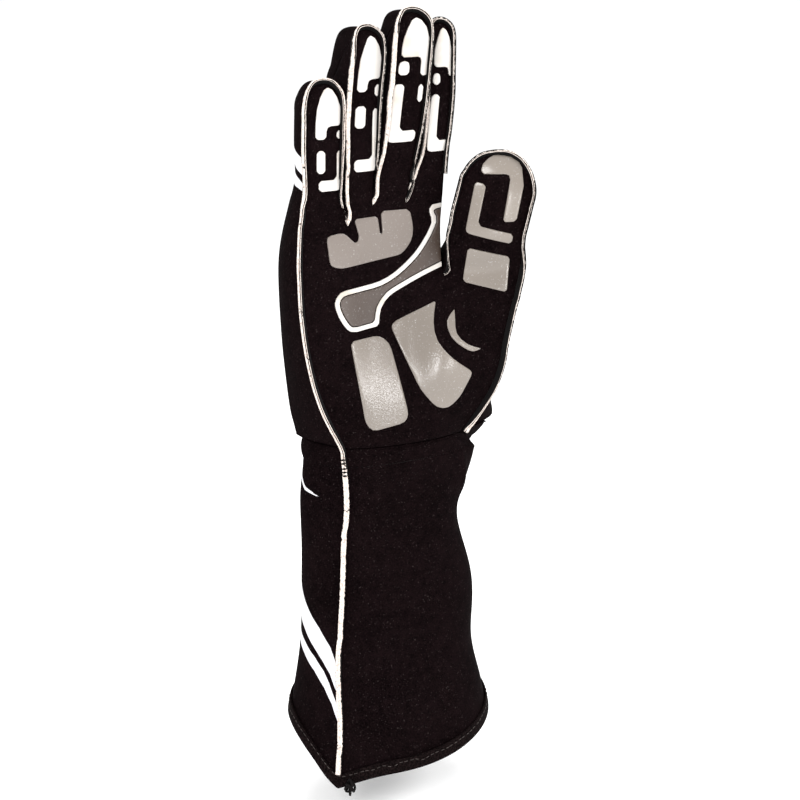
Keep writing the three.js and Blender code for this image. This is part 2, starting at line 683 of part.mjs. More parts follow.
// How a seam stands on a digit: forward and a little to its side, and upwards over the tip
const leftStand = { aside: -0.22, forward: 0.975 };
const rightStand = { aside: -0.1, forward: 0.99 };
function digitSeam(digit, firstRow = 1, lastRow = 1) {
  // Between two fingers a ridge narrows down into the crotch
  const narrowed = (row) => Math.min(1, 0.1 + 0.22 * row);
  const leftWidth = (row) => (digit.name === 'little' ? 1 : narrowed(row));
  const rightWidth = (row) => (['index', 'thumb'].includes(digit.name) ? 1 : narrowed(row));
  const stand = (frame, { aside, forward }, up) => frame.across.clone().multiplyScalar(aside * (1 - up))
    .addScaledVector(frame.front, forward).addScaledVector(upward, up);
  const stations = [];
  for (let row = firstRow; row <= digitRows; row += 1) {
    const { palmLeft, frame } = digitCorners(digit, row);
    stations.push(station(palmLeft, stand(frame, leftStand, 0), leftWidth(row)));
  }
  const tips = tipAngles.slice(0, -1).map((angle) => ({ angle, ...tipCorners(digit, angle) }));
  const rise = (angle) => 0.8 * Math.sin(radians(angle));
  for (const { angle, left, frame } of tips) {
    stations.push(station(left, stand(frame, leftStand, rise(angle)), 0.9));
  }
  const frame = digit.frameAt(1);
  for (const point of tipArc(digit)) stations.push(station(point, stand(frame, leftStand, 0.8)));
  for (const { angle, right } of tips.toReversed()) {
    stations.push(station(right, stand(frame, rightStand, rise(angle))));
  }
  for (let row = digitRows; row >= lastRow; row -= 1) {
    const corners = digitCorners(digit, row);
    stations.push(station(corners.palmRight, stand(corners.frame, rightStand, 0), rightWidth(row)));
  }
  return stations;
}

// A seam of the hand or the cuff, from row to row of its line; the cuff's ends above the binding
const handSeam = (line, from, to) => {
  const stations = [];
  for (let row = from; row !== to; row += Math.sign(to - from)) {
    stations.push(station(palmLine[line](row / palmRows)));
  }
  return stations;
};
function cuffSeam(cell, width) {
  const stations = [];
  for (let row = 1; row < cuffRows; row += 1) {
    const at = cuffPalmRows[row][cell];
    stations.push(station(at, standing(at), width));
  }
  const hem = cuffPalmRows[cuffRows][cell];
  const above = stations.at(-1);
  const clear = above.at.distanceTo(hem) - bindingHeight - 2 * seamGap;
  const end = above.at.clone().addScaledVector(hem.clone().sub(above.at).normalize(), clear);
  stations.push(station(end, above.out, width));
  return stations;
}

const [little, ring, middle, index, thumb] = digitList;
const seamLines = {
  ulnar_seam: [
    ...cuffSeam(0, 1.3).toReversed(), ...handSeam('ulnar', 0, palmRows + 1), ...digitSeam(little, 1, 2),
  ],
  ring_seam: digitSeam(ring, 1, 2),
  middle_seam: digitSeam(middle, 1, 2),
  index_seam: digitSeam(index),
  thumb_seam: [...digitSeam(thumb), ...handSeam('thumb', thumbCrotchRow, -1)],
  cuff_radial_seam: cuffSeam(cuffPalmCells, 0.5),
};
for (const [name, stations] of Object.entries(seamLines)) addPiece(name, raisedSeam(stations), blackCloth);

// The binding: a strip folded over the hem, round the whole opening
const hemStations = [cuffPalmRows, cuffBackRows].flatMap((rows) => {
  const [above, hem] = rows.slice(-2);
  return hem.slice(0, -1).map((at, cell) => ({ at, out: standing(at), up: above[cell].clone().sub(at).normalize() }));
});
const insideLeg = -clothWall * 1.25 - seamGap;
const bindingSection = [
  [seamGap, bindingHeight], [seamGap, -seamGap], [insideLeg, -seamGap], [insideLeg, bindingHeight],
  [insideLeg - bindingWall, bindingHeight], [insideLeg - bindingWall, -seamGap - bindingWall],
  [seamGap + bindingWall, -seamGap - bindingWall], [seamGap + bindingWall, bindingHeight],
];
function ringOfSections(stations, section) {
  const points = stations.flatMap(({ at, out, up }) => section.map(
    ([outwards, upwards]) => at.clone().addScaledVector(out, outwards).addScaledVector(up, upwards)));
  const triangles = [];
  stations.forEach((_, place) => {
    const here = place * section.length;
    const there = ((place + 1) % stations.length) * section.length;
    section.forEach((__, corner) => {
      const next = (corner + 1) % section.length;
      triangles.push([here + corner, there + corner, there + next], [here + corner, there + next, here + next]);
    });
  });
  return geometryOf(points, triangles);
}
addPiece('hem_binding', ringOfSections(hemStations, bindingSection), finish(0x0c0a09, 0.8));

// The knot of thread that ends the ulnar seam, on the binding a little beside the seam
const knotAside = 5.7;
const knotReach = 3.3;
const knotFlat = 0.7;
const knotTall = 1.2;
const knotPlace = hemStations[0];
const knot = mergeVertices(new THREE.IcosahedronGeometry(knotRadius, 1).deleteAttribute('normal').deleteAttribute('uv'));
knot.scale(1, knotFlat, knotTall);
const besideSeam = upward.clone().cross(knotPlace.out).normalize();
const knotMiddle = knotPlace.at.clone().addScaledVector(besideSeam, knotAside)
  .addScaledVector(knotPlace.out, knotReach).addScaledVector(upward, bindingWall);
knot.translate(...knotMiddle.toArray());
addPiece('seam_end_knot', knot, finish(0x0c0a09, 0.9));

// The grips: thin pads on the palm side. A corner is [across, up, round], with round the reach of its
// curve. A finger's corners are in shares of its half width and millimetres above its base; a foot
// on the right or the left is the longer leg of the pad.
const gripRound = 1.1;
function archGrip({ left, right, inner, foot, ledge, top, leg, slant = 0 }) {
  const [far, near] = leg === 'left' ? [right, left] : [left, right];
  return slanted([
    [near, foot, gripRound], [near, (top + ledge) / 2, 9], [(2 * near + far) / 3, top, 5],
    [(near + 2 * far) / 3, top, 5], [far, (top + ledge) / 2, 9], [far, ledge, gripRound],
    [inner, ledge, 2], [inner, foot, gripRound],
  ], left, right, slant);
}
function cornerGrip({ left, right, inner, low, shelf, high, leg, slant = 0 }) {
  const [far, near] = leg === 'left' ? [right, left] : [left, right];
  return slanted([
    [near, low, 2], [near, high, gripRound], [inner, high, gripRound],
    [inner, shelf, 1.5], [far, shelf, gripRound], [far, low, gripRound],
  ], left, right, slant);
}
function blockGrip({ left, right, low, high, topRound = gripRound, slant = 0 }) {
  return slanted([
    [left, low, gripRound], [left, high, topRound], [right, high, topRound], [right, low, gripRound],
  ], left, right, slant);
}
const slanted = (corners, left, right, slant) => corners.map(
  ([across, up, round]) => [across, up + slant * (across - left) / (right - left), round]);

const digitGrips = {
  little_arch_grip: archGrip(
    { left: -0.44, right: 0.90, inner: 0.12, foot: 28.8, ledge: 34.1, top: 49.4, leg: 'left' }),
  little_dot_grip: blockGrip({ left: 0.70, right: 0.98, low: 28.5, high: 32.2 }),
  little_bar_grip: blockGrip({ left: -0.38, right: 0.06, low: 15.1, high: 24.4 }),
  little_corner_grip: cornerGrip(
    { left: -0.27, right: 0.98, inner: 0.72, low: 8.0, shelf: 12.4, high: 24.1, leg: 'right' }),
  ring_arch_grip: archGrip(
    { left: -0.58, right: 0.88, inner: 0.03, foot: 44.9, ledge: 49.8, top: 67.0, leg: 'left' }),
  ring_dot_grip: blockGrip({ left: 0.60, right: 0.98, low: 42.7, high: 47.5 }),
  ring_bar_grip: blockGrip({ left: -0.60, right: 0.02, low: 30.4, high: 39.3 }),
  ring_corner_grip: cornerGrip(
    { left: -0.57, right: 0.90, inner: 0.55, low: 12.9, shelf: 17.9, high: 38.0, leg: 'right' }),
  middle_arch_grip: archGrip(
    { left: -0.60, right: 0.95, inner: 0.50, foot: 48.4, ledge: 56.2, top: 71.6, leg: 'right' }),
  middle_block_grip: blockGrip({ left: -0.72, right: -0.17, low: 49.0, high: 54.7, topRound: 2.2 }),
  middle_bar_grip: blockGrip({ left: 0.48, right: 0.76, low: 37.6, high: 45.0 }),
  middle_corner_grip: cornerGrip(
    { left: -0.88, right: 0.58, inner: -0.35, low: 22.0, shelf: 26.6, high: 45.5, leg: 'left' }),
  index_arch_grip: archGrip(
    { left: -0.56, right: 0.86, inner: 0.60, foot: 48.2, ledge: 52.2, top: 68.0, leg: 'right' }),
  index_block_grip: blockGrip({ left: -0.67, right: -0.13, low: 45.0, high: 49.9, topRound: 1.8 }),
  index_corner_grip: cornerGrip(
    { left: -0.74, right: 0.86, inner: -0.14, low: 18.0, shelf: 22.5, high: 41.3, leg: 'left' }),
  thumb_arch_grip: archGrip(
    { left: -0.41, right: 0.69, inner: 0.34, foot: 22.0, ledge: 41.9, top: 50.0, leg: 'right' }),
  thumb_corner_grip: cornerGrip(
    { left: -0.59, right: 0.69, inner: -0.30, low: 17.3, shelf: 21.6, high: 38.8, leg: 'left', slant: -5 }),
  thumb_block_grip: blockGrip({ left: -0.43, right: 0.74, low: -4.6, high: 10.8, slant: -4.4 }),
};
// The palm's grips, with corners in millimetres across from the middle and up from the wrist seam
const palmGrips = {
  palm_upper_grip: [
    [-32.3, 79.0, 2], [-33.3, 91.3, 2], [-25.5, 92.4, 2], [-20.3, 87.2, 1], [-18.8, 89.8, 1], [-20.6, 97.4, 1],
    [-10.2, 98.0, 1], [-9.3, 90.4, 0.5], [-8.3, 90.4, 0.5], [-8.7, 99.9, 1.3], [4.6, 99.7, 1.5],
    [6.3, 91.5, 3], [5.2, 86.0, 3], [0.2, 81.0, 2], [-27.5, 77.6, 2],
  ],
  palm_ulnar_grip: [
    [-24.5, 46.8, 1.4], [-11.5, 48.2, 2.5], [-6.6, 44.6, 3], [0.4, 13.0, 2.5], [-1.4, 9.7, 2.5],
    [-16.0, 7.3, 2.5], [-19.0, 11.4, 2],
  ],
  palm_thumb_grip: [
    [14.4, 60.6, 0.8], [11.8, 52.0, 4], [12.6, 44.0, 4], [18.6, 36.6, 4], [28.6, 29.5, 2], [22.9, 18.6, 2],
    [18.0, 14.2, 2.5], [12.4, 15.0, 3], [5.3, 23.4, 4], [-0.6, 38.0, 6], [-5.9, 51.2, 2], [-4.2, 53.2, 1],
  ],
  palm_crescent_grip: [
    [21.6, 57.2, 0.4], [17.2, 52.6, 2.5], [18.2, 45.6, 4], [23.9, 40.6, 3], [28.4, 38.3, 2], [32.2, 39.7, 0.3],
    [25.8, 41.9, 3], [20.8, 46.8, 3],
  ],
};
const palmPanelOutline = [
  [25.5, 101.0, 1], [14.4, 100.2, 1.5], [14.2, 96.6, 1], [15.9, 94.0, 1.5], [13.0, 88.5, 4], [6.6, 80.8, 4],
  [-2.6, 73.9, 4], [-9.9, 70.5, 4], [-28.6, 68.2, 2.5], [-31.2, 63.6, 2], [-29.4, 57.6, 2.5], [-25.6, 51.6, 2.5],
  [-22.6, 50.4, 1.5], [-11.1, 52.0, 1], [-10.2, 59.4, 3], [-5.9, 64.4, 3], [4.9, 69.2, 5], [25.5, 76.4, 1],
];
const borderWidth = 2.0;

// The outline with every corner moved inwards by the same distance from both its sides
function insetOutline(corners, by) {
  const flat = corners.map(([across, up]) => new THREE.Vector2(across, up));
  const turning = Math.sign(THREE.ShapeUtils.area(flat));
  return corners.map(([, , round], place) => {
    const before = flat.at(place - 1);
    const here = flat[place];
    const after = flat[(place + 1) % flat.length];
    const [into, away] = [here.clone().sub(before).normalize(), after.clone().sub(here).normalize()];
    const inward = new THREE.Vector2(-into.y - away.y, into.x + away.x).normalize();
    const reach = by / Math.max(0.5, inward.dot(new THREE.Vector2(-into.y, into.x)));
    const moved = here.clone().addScaledVector(inward, turning * reach);
    return [moved.x, moved.y, round];
  });
}

// Corners with less reach than this are cut straight
const cutCorner = 1.8;
function roundedShape(corners) {
  const shape = new THREE.Shape();
  const flat = corners.map(([across, up]) => new THREE.Vector2(across, up));
  corners.forEach(([, , round], place) => {
    const here = flat[place];
    const towards = (other) => {
      const side = here.distanceTo(other);
      return here.clone().lerp(other, Math.min(round / side, 0.48));
    };
    const start = towards(flat.at(place - 1));
    const end = towards(flat[(place + 1) % flat.length]);
    if (place === 0) shape.moveTo(start.x, start.y);
    else shape.lineTo(start.x, start.y);
    if (round < cutCorner) shape.lineTo(end.x, end.y);
    else shape.quadraticCurveTo(here.x, here.y, end.x, end.y);
  });
  shape.closePath();
  return shape;
}

// The cut that a grip's outline makes through the cloth; placed puts each point of it into the glove
function outlineCut(shape, depth, placed) {
  const geometry = new THREE.ExtrudeGeometry(shape, { depth, bevelEnabled: false, curveSegments: 2 });
  geometry.deleteAttribute('normal');
  geometry.deleteAttribute('uv');
  const cut = mergeVertices(geometry, 1e-4);
  const place = cut.getAttribute('position');
  for (let corner = 0; corner < place.count; corner += 1) {
    const at = placed(place.getX(corner), place.getY(corner), place.getZ(corner));
    place.setXYZ(corner, at.x, at.y, at.z);
  }
  return solidOf(cut);
}

const cutDepth = 3 * palmHalfDepth;
const ontoPalm = (across, up, forward) => new THREE.Vector3(across, -forward, wristHeight + up);
const ontoDigit = (digit) => (across, up, forward) => {
  const share = THREE.MathUtils.clamp(up / digit.straight, 0, 1);
  const frame = { ...digit.frameAt(1), centre: digit.frameAt(share).centre };
  return digitPoint(frame, across, forward, up - share * digit.straight);
};

const palmNormals = palmNet.normals();
const raisedFromPalm = (by) => drawnBack(palmNet, palmNormals).map(
  (point, corner) => point.addScaledVector(palmNormals[corner], by));
let gripLayer = solidOf(closedBody(palmNet, raisedFromPalm(gripGap + gripWall), raisedFromPalm(gripGap)));
for (const stations of Object.values(seamLines)) {
  gripLayer = gripLayer.subtract(solidOf(raisedSeam(stations, gripGap)));
}
const fingerGripFinish = finish(0xe6e1dc, 0.7);
const palmGripFinish = finish(0xa9a7ad, 0.35);
const panelFinish = finish(0x6e6969, 0.5);
function addGrip(name, cut, material) {
  addPiece(name, geometryFrom(largest(gripLayer.intersect(cut)).simplify(gripFlatness)), material);
}

for (const [name, corners] of Object.entries(digitGrips)) {
  const digit = digitList.find((one) => name.startsWith(one.name));
  const wide = corners.map(([across, up, round]) => [across * digit.halfWidth, up, round]);
  const material = digit.isThumb ? palmGripFinish : fingerGripFinish;
  addGrip(name, outlineCut(roundedShape(wide), cutDepth / 2, ontoDigit(digit)), material);
}
for (const [name, corners] of Object.entries(palmGrips)) {
  addGrip(name, outlineCut(roundedShape(corners), cutDepth, ontoPalm), palmGripFinish);
}
const bordered = roundedShape(palmPanelOutline);
bordered.holes.push(roundedShape(insetOutline(palmPanelOutline, borderWidth)));
addGrip('palm_panel_border', outlineCut(bordered, cutDepth, ontoPalm), fingerGripFinish);
const filling = roundedShape(insetOutline(palmPanelOutline, borderWidth + gripGap));
addGrip('palm_panel_filling', outlineCut(filling, cutDepth, ontoPalm), panelFinish);

export default glove;
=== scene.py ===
import math

import bmesh
import bpy
import numpy as np
from mathutils import Matrix, Vector, noise
from mathutils.bvhtree import BVHTree
from mathutils.geometry import delaunay_2d_cdt
from mathutils.kdtree import KDTree


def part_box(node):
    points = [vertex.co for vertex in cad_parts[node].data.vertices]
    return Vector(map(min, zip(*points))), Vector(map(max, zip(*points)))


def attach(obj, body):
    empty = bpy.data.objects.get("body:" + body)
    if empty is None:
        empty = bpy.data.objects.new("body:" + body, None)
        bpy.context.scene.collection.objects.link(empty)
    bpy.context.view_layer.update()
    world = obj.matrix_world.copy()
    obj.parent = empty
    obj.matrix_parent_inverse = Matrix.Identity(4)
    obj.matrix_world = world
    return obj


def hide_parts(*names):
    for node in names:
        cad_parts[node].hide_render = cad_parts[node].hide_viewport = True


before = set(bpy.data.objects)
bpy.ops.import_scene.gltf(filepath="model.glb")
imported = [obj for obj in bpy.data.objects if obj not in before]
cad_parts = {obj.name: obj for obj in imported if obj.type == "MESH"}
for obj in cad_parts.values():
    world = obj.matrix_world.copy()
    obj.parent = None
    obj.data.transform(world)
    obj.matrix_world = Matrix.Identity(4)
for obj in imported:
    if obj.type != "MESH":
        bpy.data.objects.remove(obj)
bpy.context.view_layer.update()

mm = 0.001


# -----------------------------------------------------------------------------------------------
# The cloth panels
# The hand and the cuff are cut from black stretch cloth with a brushed, suede-like face on a knitted
# backing. The panels are sewn to each other along their raw edges, with the seams outside.

class Wire:
    """One value of a finish, so that its maths reads as plain arithmetic."""

    def __init__(self, finish, socket):
        self.finish = finish
        self.socket = socket

    def math(self, operation, first, second):
        return self.finish.node("ShaderNodeMath", {"operation": operation}, {0: first, 1: second})

    def __add__(self, other):
        return self.math("ADD", self, other)

    def __radd__(self, other):
        return self.math("ADD", other, self)

    def __sub__(self, other):
        return self.math("SUBTRACT", self, other)

    def __rsub__(self, other):
        return self.math("SUBTRACT", other, self)

    def __mul__(self, other):
        return self.math("MULTIPLY", self, other)

    def __rmul__(self, other):
        return self.math("MULTIPLY", other, self)

    def __abs__(self):
        return self.math("ABSOLUTE", self, 0.0)

    def step(self, low, high):
        """0 below low, 1 above high, and a soft rise between them."""
        settings = {"interpolation_type": "SMOOTHSTEP"}
        return self.finish.node("ShaderNodeMapRange", settings, {0: self, 1: low, 2: high})


class Finish:
    """One of the glove's finishes: plain sockets first, then the patterns that vary."""

    def __init__(self, name, sockets):
        self.material = bpy.data.materials.new(name)
        self.material.use_nodes = True
        self.shader = self.material.node_tree.nodes["Principled BSDF"]
        self.feed(self.shader, sockets)

    def feed(self, node, values):
        for socket, value in values.items():
            if isinstance(value, Wire):
                self.material.node_tree.links.new(value.socket, node.inputs[socket])
            else:
                node.inputs[socket].default_value = value

    def node(self, kind, settings, values, result=0):
        made = self.material.node_tree.nodes.new(kind)
        for setting, value in settings.items():
            setattr(made, setting, value)
        self.feed(made, values)
        return Wire(self, made.outputs[result])

    def place(self):
        return self.node("ShaderNodeTexCoord", {}, {}, "Object")

    def grain(self, place, size, detail=2.0, rough=0.5):
        """Noise whose features are about size metres wide."""
        return self.node("ShaderNodeTexNoise", {}, {
            "Vector": place, "Scale": 0.6 / size, "Detail": detail, "Roughness": rough})

    def value(self, attribute):
        return self.node("ShaderNodeAttribute", {"attribute_name": attribute}, {}, "Fac")

    def blend(self, share, first, second):
        return self.node("ShaderNodeMix", {"data_type": "RGBA"}, {0: share, 6: first, 7: second}, 2)

    def wear(self, colour, roughness, height, strength, depth):
        """Puts the finished patterns on the shader."""
        relief = {"Strength": strength, "Distance": depth, "Height": height}
        normal = self.node("ShaderNodeBump", {}, relief)
        self.feed(self.shader, {"Base Color": colour, "Roughness": roughness, "Normal": normal})


cloth_dark = (0.0007, 0.0003, 0.0004, 1)
cloth_light = (0.0062, 0.0032, 0.0036, 1)
lint_colour = (0.028, 0.021, 0.021, 1)
stripe_colour = (0.66, 0.65, 0.67, 1)


def brushed_cloth(name, striped=False):
    cloth = Finish(name, {"Specular IOR Level": 0.015})
    place = cloth.place()
    nap = cloth.grain(place, 0.3 * mm, 3, 0.7)
    brushed = cloth.grain(place, 2.2 * mm, 3)
    drift = cloth.grain(place, 14 * mm, 2)
    lint = cloth.grain(place, 0.45 * mm, 1).step(0.66, 0.74)
    tone = nap * 1.9 + brushed * 0.5 + drift * 0.4 - 0.9
    colour = cloth.blend(tone.step(0.1, 0.9), cloth_dark, cloth_light)
    colour = cloth.blend(lint * 0.6, colour, lint_colour)
    roughness = 0.86 + 0.1 * nap
    if striped:
        stripe = (cloth.value("stripe") + (nap - 0.5) * 0.25).step(-0.12, 0.12)
        colour = cloth.blend(stripe, colour, stripe_colour)
        roughness = roughness - 0.35 * stripe
    cloth.wear(colour, roughness, nap * 0.7 + brushed * 0.3, 0.5, 0.12 * mm)
    return cloth.material


rim_angle = math.radians(50)


def walls(sheet):
    """The faces of a thin solid in groups that no sharp edge crosses, the largest group first."""
    groups = []
    left = set(sheet.faces)
    for start in sheet.faces:
        if start not in left:
            continue
        left.remove(start)
        group = []
        waiting = [start]
        while waiting:
            face = waiting.pop()
            group.append(face)
            for edge in face.edges:
                if edge.calc_face_angle(0) < rim_angle:
                    near = [other for other in edge.link_faces if other in left]
                    left.difference_update(near)
                    waiting.extend(near)
        groups.append(sorted(group, key=lambda face: face.index))
    return sorted(groups, key=lambda group: -sum(face.calc_area() for face in group))


def merged_copy(node):
    """The node's loose triangles as one closed mesh."""
    sheet = bmesh.new()
    sheet.from_mesh(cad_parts[node].data)
    bmesh.ops.remove_doubles(sheet, verts=sheet.verts, dist=0.005 * mm)
    bmesh.ops.dissolve_degenerate(sheet, edges=sheet.edges, dist=0.002 * mm)
    sheet.faces.index_update()
    return sheet


def new_piece(name, mesh, material, *nodes):
    """A finished mesh as a piece that rides on the glove and stands for its nodes."""
    piece = bpy.data.objects.new(name, mesh)
    bpy.context.scene.collection.objects.link(piece)
    mesh.materials.clear()
    mesh.materials.append(material)
    mesh.polygons.foreach_set("use_smooth", [True] * len(mesh.polygons))
    mesh.polygons.foreach_set("material_index", [0] * len(mesh.polygons))
    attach(piece, "root")
    if nodes:
        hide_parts(*nodes)
    return piece


def rounded_sheet(name, node, levels, material, rim=1.0):
    """A node's facets joined and rounded, with its rims kept sharp and its outer wall marked."""
    sheet = merged_copy(node)
    angles = {"angle_face_threshold": math.radians(45), "angle_shape_threshold": math.radians(50)}
    bmesh.ops.join_triangles(sheet, faces=sheet.faces, **angles)
    crease = sheet.edges.layers.float.new("crease_edge")
    for edge in sheet.edges:
        if edge.calc_face_angle(0) > rim_angle:
            edge[crease] = rim
    outer = sheet.verts.layers.float.new("outer")
    for face in walls(sheet)[0]:
        for corner in face.verts:
            corner[outer] = 1
    mesh = bpy.data.meshes.new(name)
    sheet.to_mesh(mesh)
    sheet.free()
    piece = new_piece(name, mesh, material, node)
    rounding = piece.modifiers.new("rounding", "SUBSURF")
    rounding.levels = levels
    rounding.render_levels = levels
    rounded = piece.evaluated_get(bpy.context.evaluated_depsgraph_get())
    piece.data = bpy.data.meshes.new_from_object(rounded)
    piece.modifiers.clear()
    return piece


def corners_of(mesh):
    places = np.empty(len(mesh.vertices) * 3, np.float32)
    mesh.vertices.foreach_get("co", places)
    return places.reshape(-1, 3).astype(float)


def fold_along(places, start, end, width, height):
    """How far a soft fold from start to end lifts each place; all in millimetres."""
    start, end = np.array(start, float), np.array(end, float)
    run = end - start
    share = np.clip((places - start) @ run / (run @ run), 0, 1)
    aside = np.linalg.norm(places - start - share[:, None] * run, axis=1)
    return height * np.exp(-(aside / width) ** 2) * np.sin(math.pi * (0.08 + 0.84 * share))


# Heights, depths and widths in millimetres. The valley at the wrist seam fades out on the outer side.
wrist_seam = 17.0
valley_width = 2.0
valley_depth = 0.8
valley_end = -44
valley_fade = 10
topstitch = 8.6
topstitch_width = 0.8
topstitch_depth = 0.35
deepest_fold = -0.9
highest_fold = 1.4


def relax(piece, folds, swell, wave):
    """Lifts the outer wall into soft folds, and draws it in at the wrist seam and its second row."""
    mesh = piece.data
    places = corners_of(mesh) / mm
    lift = np.zeros(len(places))
    for start, end, width, height in folds:
        lift += fold_along(places, start, end, width, height)
    lift += [swell * noise.noise(Vector(place) / wave) for place in places]
    valley = valley_depth * np.clip((places[:, 0] - valley_end) / valley_fade, 0, 1)
    lift -= valley * np.exp(-((places[:, 2] - wrist_seam) / valley_width) ** 2)
    lift -= topstitch_depth * np.exp(-((places[:, 2] - topstitch) / topstitch_width) ** 2)
    outer = np.empty(len(places), np.float32)
    mesh.attributes["outer"].data.foreach_get("value", outer)
    normals = np.empty(len(places) * 3, np.float32)
    mesh.vertex_normals.foreach_get("vector", normals)
    lift = np.clip(lift, deepest_fold, highest_fold)
    away = (lift * np.clip(outer, 0, 1) ** 2)[:, None] * normals.reshape(-1, 3)
    mesh.vertices.foreach_set("co", ((places + away) * mm).ravel())
    mesh.update()


hand_cloth = brushed_cloth("hand_cloth")
striped_cloth = brushed_cloth("striped_cloth", striped=True)
palm = rounded_sheet("palm_cloth", "palm_panel", 3, hand_cloth)
back = rounded_sheet("back_cloth", "back_panel", 3, striped_cloth)
cuff_palm = rounded_sheet("cuff_palm_cloth", "cuff_palm_panel", 4, hand_cloth)
cuff_back = rounded_sheet("cuff_back_cloth", "cuff_back_panel", 4, striped_cloth)
strips = [
    rounded_sheet("little_ring_side", "little_ring_strip", 2, hand_cloth),
    rounded_sheet("ring_middle_side", "ring_middle_strip", 2, hand_cloth),
    rounded_sheet("middle_index_side", "middle_index_strip", 2, hand_cloth),
    rounded_sheet("thumb_web_side", "thumb_web_strip", 2, hand_cloth),
]

# Folds: start and end in millimetres, then width and height
palm_folds = [
    ((20, -24, 92), (2, -17, 84), 5, 0.6),
    ((34, -30, 60), (14, -24, 78), 6, 0.5),
    ((-16, -20, 22), (8, -22, 24), 4, 0.4),
]
back_folds = [
    ((-43, 7, 20), (-37, 16, 20), 6, -0.8),
]
cuff_folds = [
    ((30, -14, 8), (33, -8, -16), 2.2, 1.1),
    ((22, -18, 3), (27, -14, -14), 3, -0.5),
    ((26, -10, -22), (6, -22, -44), 5, 0.6),
    ((-20, -20, 4), (2, -21, 8), 3, 0.4),
    ((-24, -20, -30), (-26, -24, -70), 8, 0.4),
    ((18, -26, -50), (30, -24, -100), 9, 0.5),
]
cuff_back_folds = [
    ((-44, 5, 11), (-36, 16, 10), 6, 1.3),
    ((36, 2, 2), (30, 14, -14), 4, 0.8),
    ((-34, 2, 4), (-30, 12, -10), 4, 0.6),
    ((-10, 20, -8), (14, 20, -14), 5, 0.6),
    ((-20, 20, -26), (20, 20, -34), 7, 0.5),
]
relax(palm, palm_folds, 0.35, 22)
relax(back, back_folds, 0.35, 24)
relax(cuff_palm, cuff_folds, 0.5, 26)
relax(cuff_back, cuff_back_folds, 0.5, 26)

# The white stripes on the outer side: for each edge, its height at some distances from the palm side
hand_stripes = [
    {"upper": [(-9, 138.3), (-6.9, 139.3), (-4.7, 140.3), (-0.8, 141.7), (9, 145.4)],
     "lower": [(-9, 131.8), (-6.8, 132.8), (-4.6, 133.7), (-0.3, 135.1), (9, 138.3)]},
    {"upper": [(-9, 129.1), (-6.7, 129.9), (-3.8, 131.1), (1.6, 132.7), (9, 134.6)],
     "lower": [(-9, 126.6), (-7.9, 126.9), (-4.5, 127.6), (1.4, 128.2), (9, 129.4)]},
]
cuff_stripes = [
    {"upper": [(-9.0, -5.4), (-6.0, -3.7), (-2.1, -2.2), (0.5, 0.1), (9, 6.5)],
     "lower": [(-9.0, -5.5), (-6.0, -4.6), (-2.1, -3.7), (0.5, -1.5), (9, 4.0)]},
    {"upper": [(-20.0, -84.9), (-18.2, -80.0), (-15.3, -72.8), (-10.1, -65.4),
               (-1.3, -55.4), (4, -48.0), (9, -38.0)],
     "lower": [(-22.4, -98.0), (-20.6, -93.1), (-16.7, -84.8), (-12.9, -79.8),
               (-7.6, -74.4), (-1.3, -69.2), (9, -62.0)]},
    {"upper": [(-22.6, -101.6), (-20.9, -96.8), (-17.1, -88.9), (-14.1, -84.2),
               (-9.0, -79.3), (-2.1, -74.9), (9, -69.5)],
     "lower": [(-23.6, -108.7), (-22.4, -104.7), (-19.7, -97.9), (-15.8, -91.6),
               (-9.8, -85.3), (-1.9, -80.2), (9, -74.5)]},
]
# Where the stripes stop on the back, and where the outer side starts on the hand and on the cuff
stripe_end = 8.5
hand_side = -30
cuff_side = -20
no_stripe = -5.0


def mark_stripes(piece, stripes, outer_side):
    """Writes how far inside a stripe each corner of the mesh lies, in millimetres."""
    places = corners_of(piece.data) / mm
    inside = np.full(len(places), no_stripe)
    for stripe in stripes:
        upper = np.interp(places[:, 1], *np.array(stripe["upper"]).T)
        lower = np.interp(places[:, 1], *np.array(stripe["lower"]).T)
        within = np.minimum(upper - places[:, 2], places[:, 2] - lower)
        within = np.minimum(within, places[:, 1] - stripe["upper"][0][0])
        inside = np.maximum(inside, within)
    inside = np.minimum(inside, stripe_end - places[:, 1])
    inside = np.minimum(inside, outer_side - places[:, 0])
    marks = piece.data.attributes.new("stripe", "FLOAT", "POINT")
    marks.data.foreach_set("value", inside.astype(np.float32))


mark_stripes(back, hand_stripes, hand_side)
mark_stripes(cuff_back, cuff_stripes, cuff_side)


# -----------------------------------------------------------------------------------------------
# The outside seams
# At each seam the two cloths stand up together as a narrow flange, sewn through at its foot. Its raw
# edge shows the cream backing between the black faces, and frays a little along the cut.

def tree_of(*pieces):
    """The pieces' surface, for finding places on the cloth."""
    places = []
    faces = []
    for piece in pieces:
        first = len(places)
        places += [corner.co.copy() for corner in piece.data.vertices]
        faces += [[first + corner for corner in face.vertices] for face in piece.data.polygons]
    return BVHTree.FromPolygons(places, faces)


all_cloth = tree_of(palm, back, cuff_palm, cuff_back, *strips)


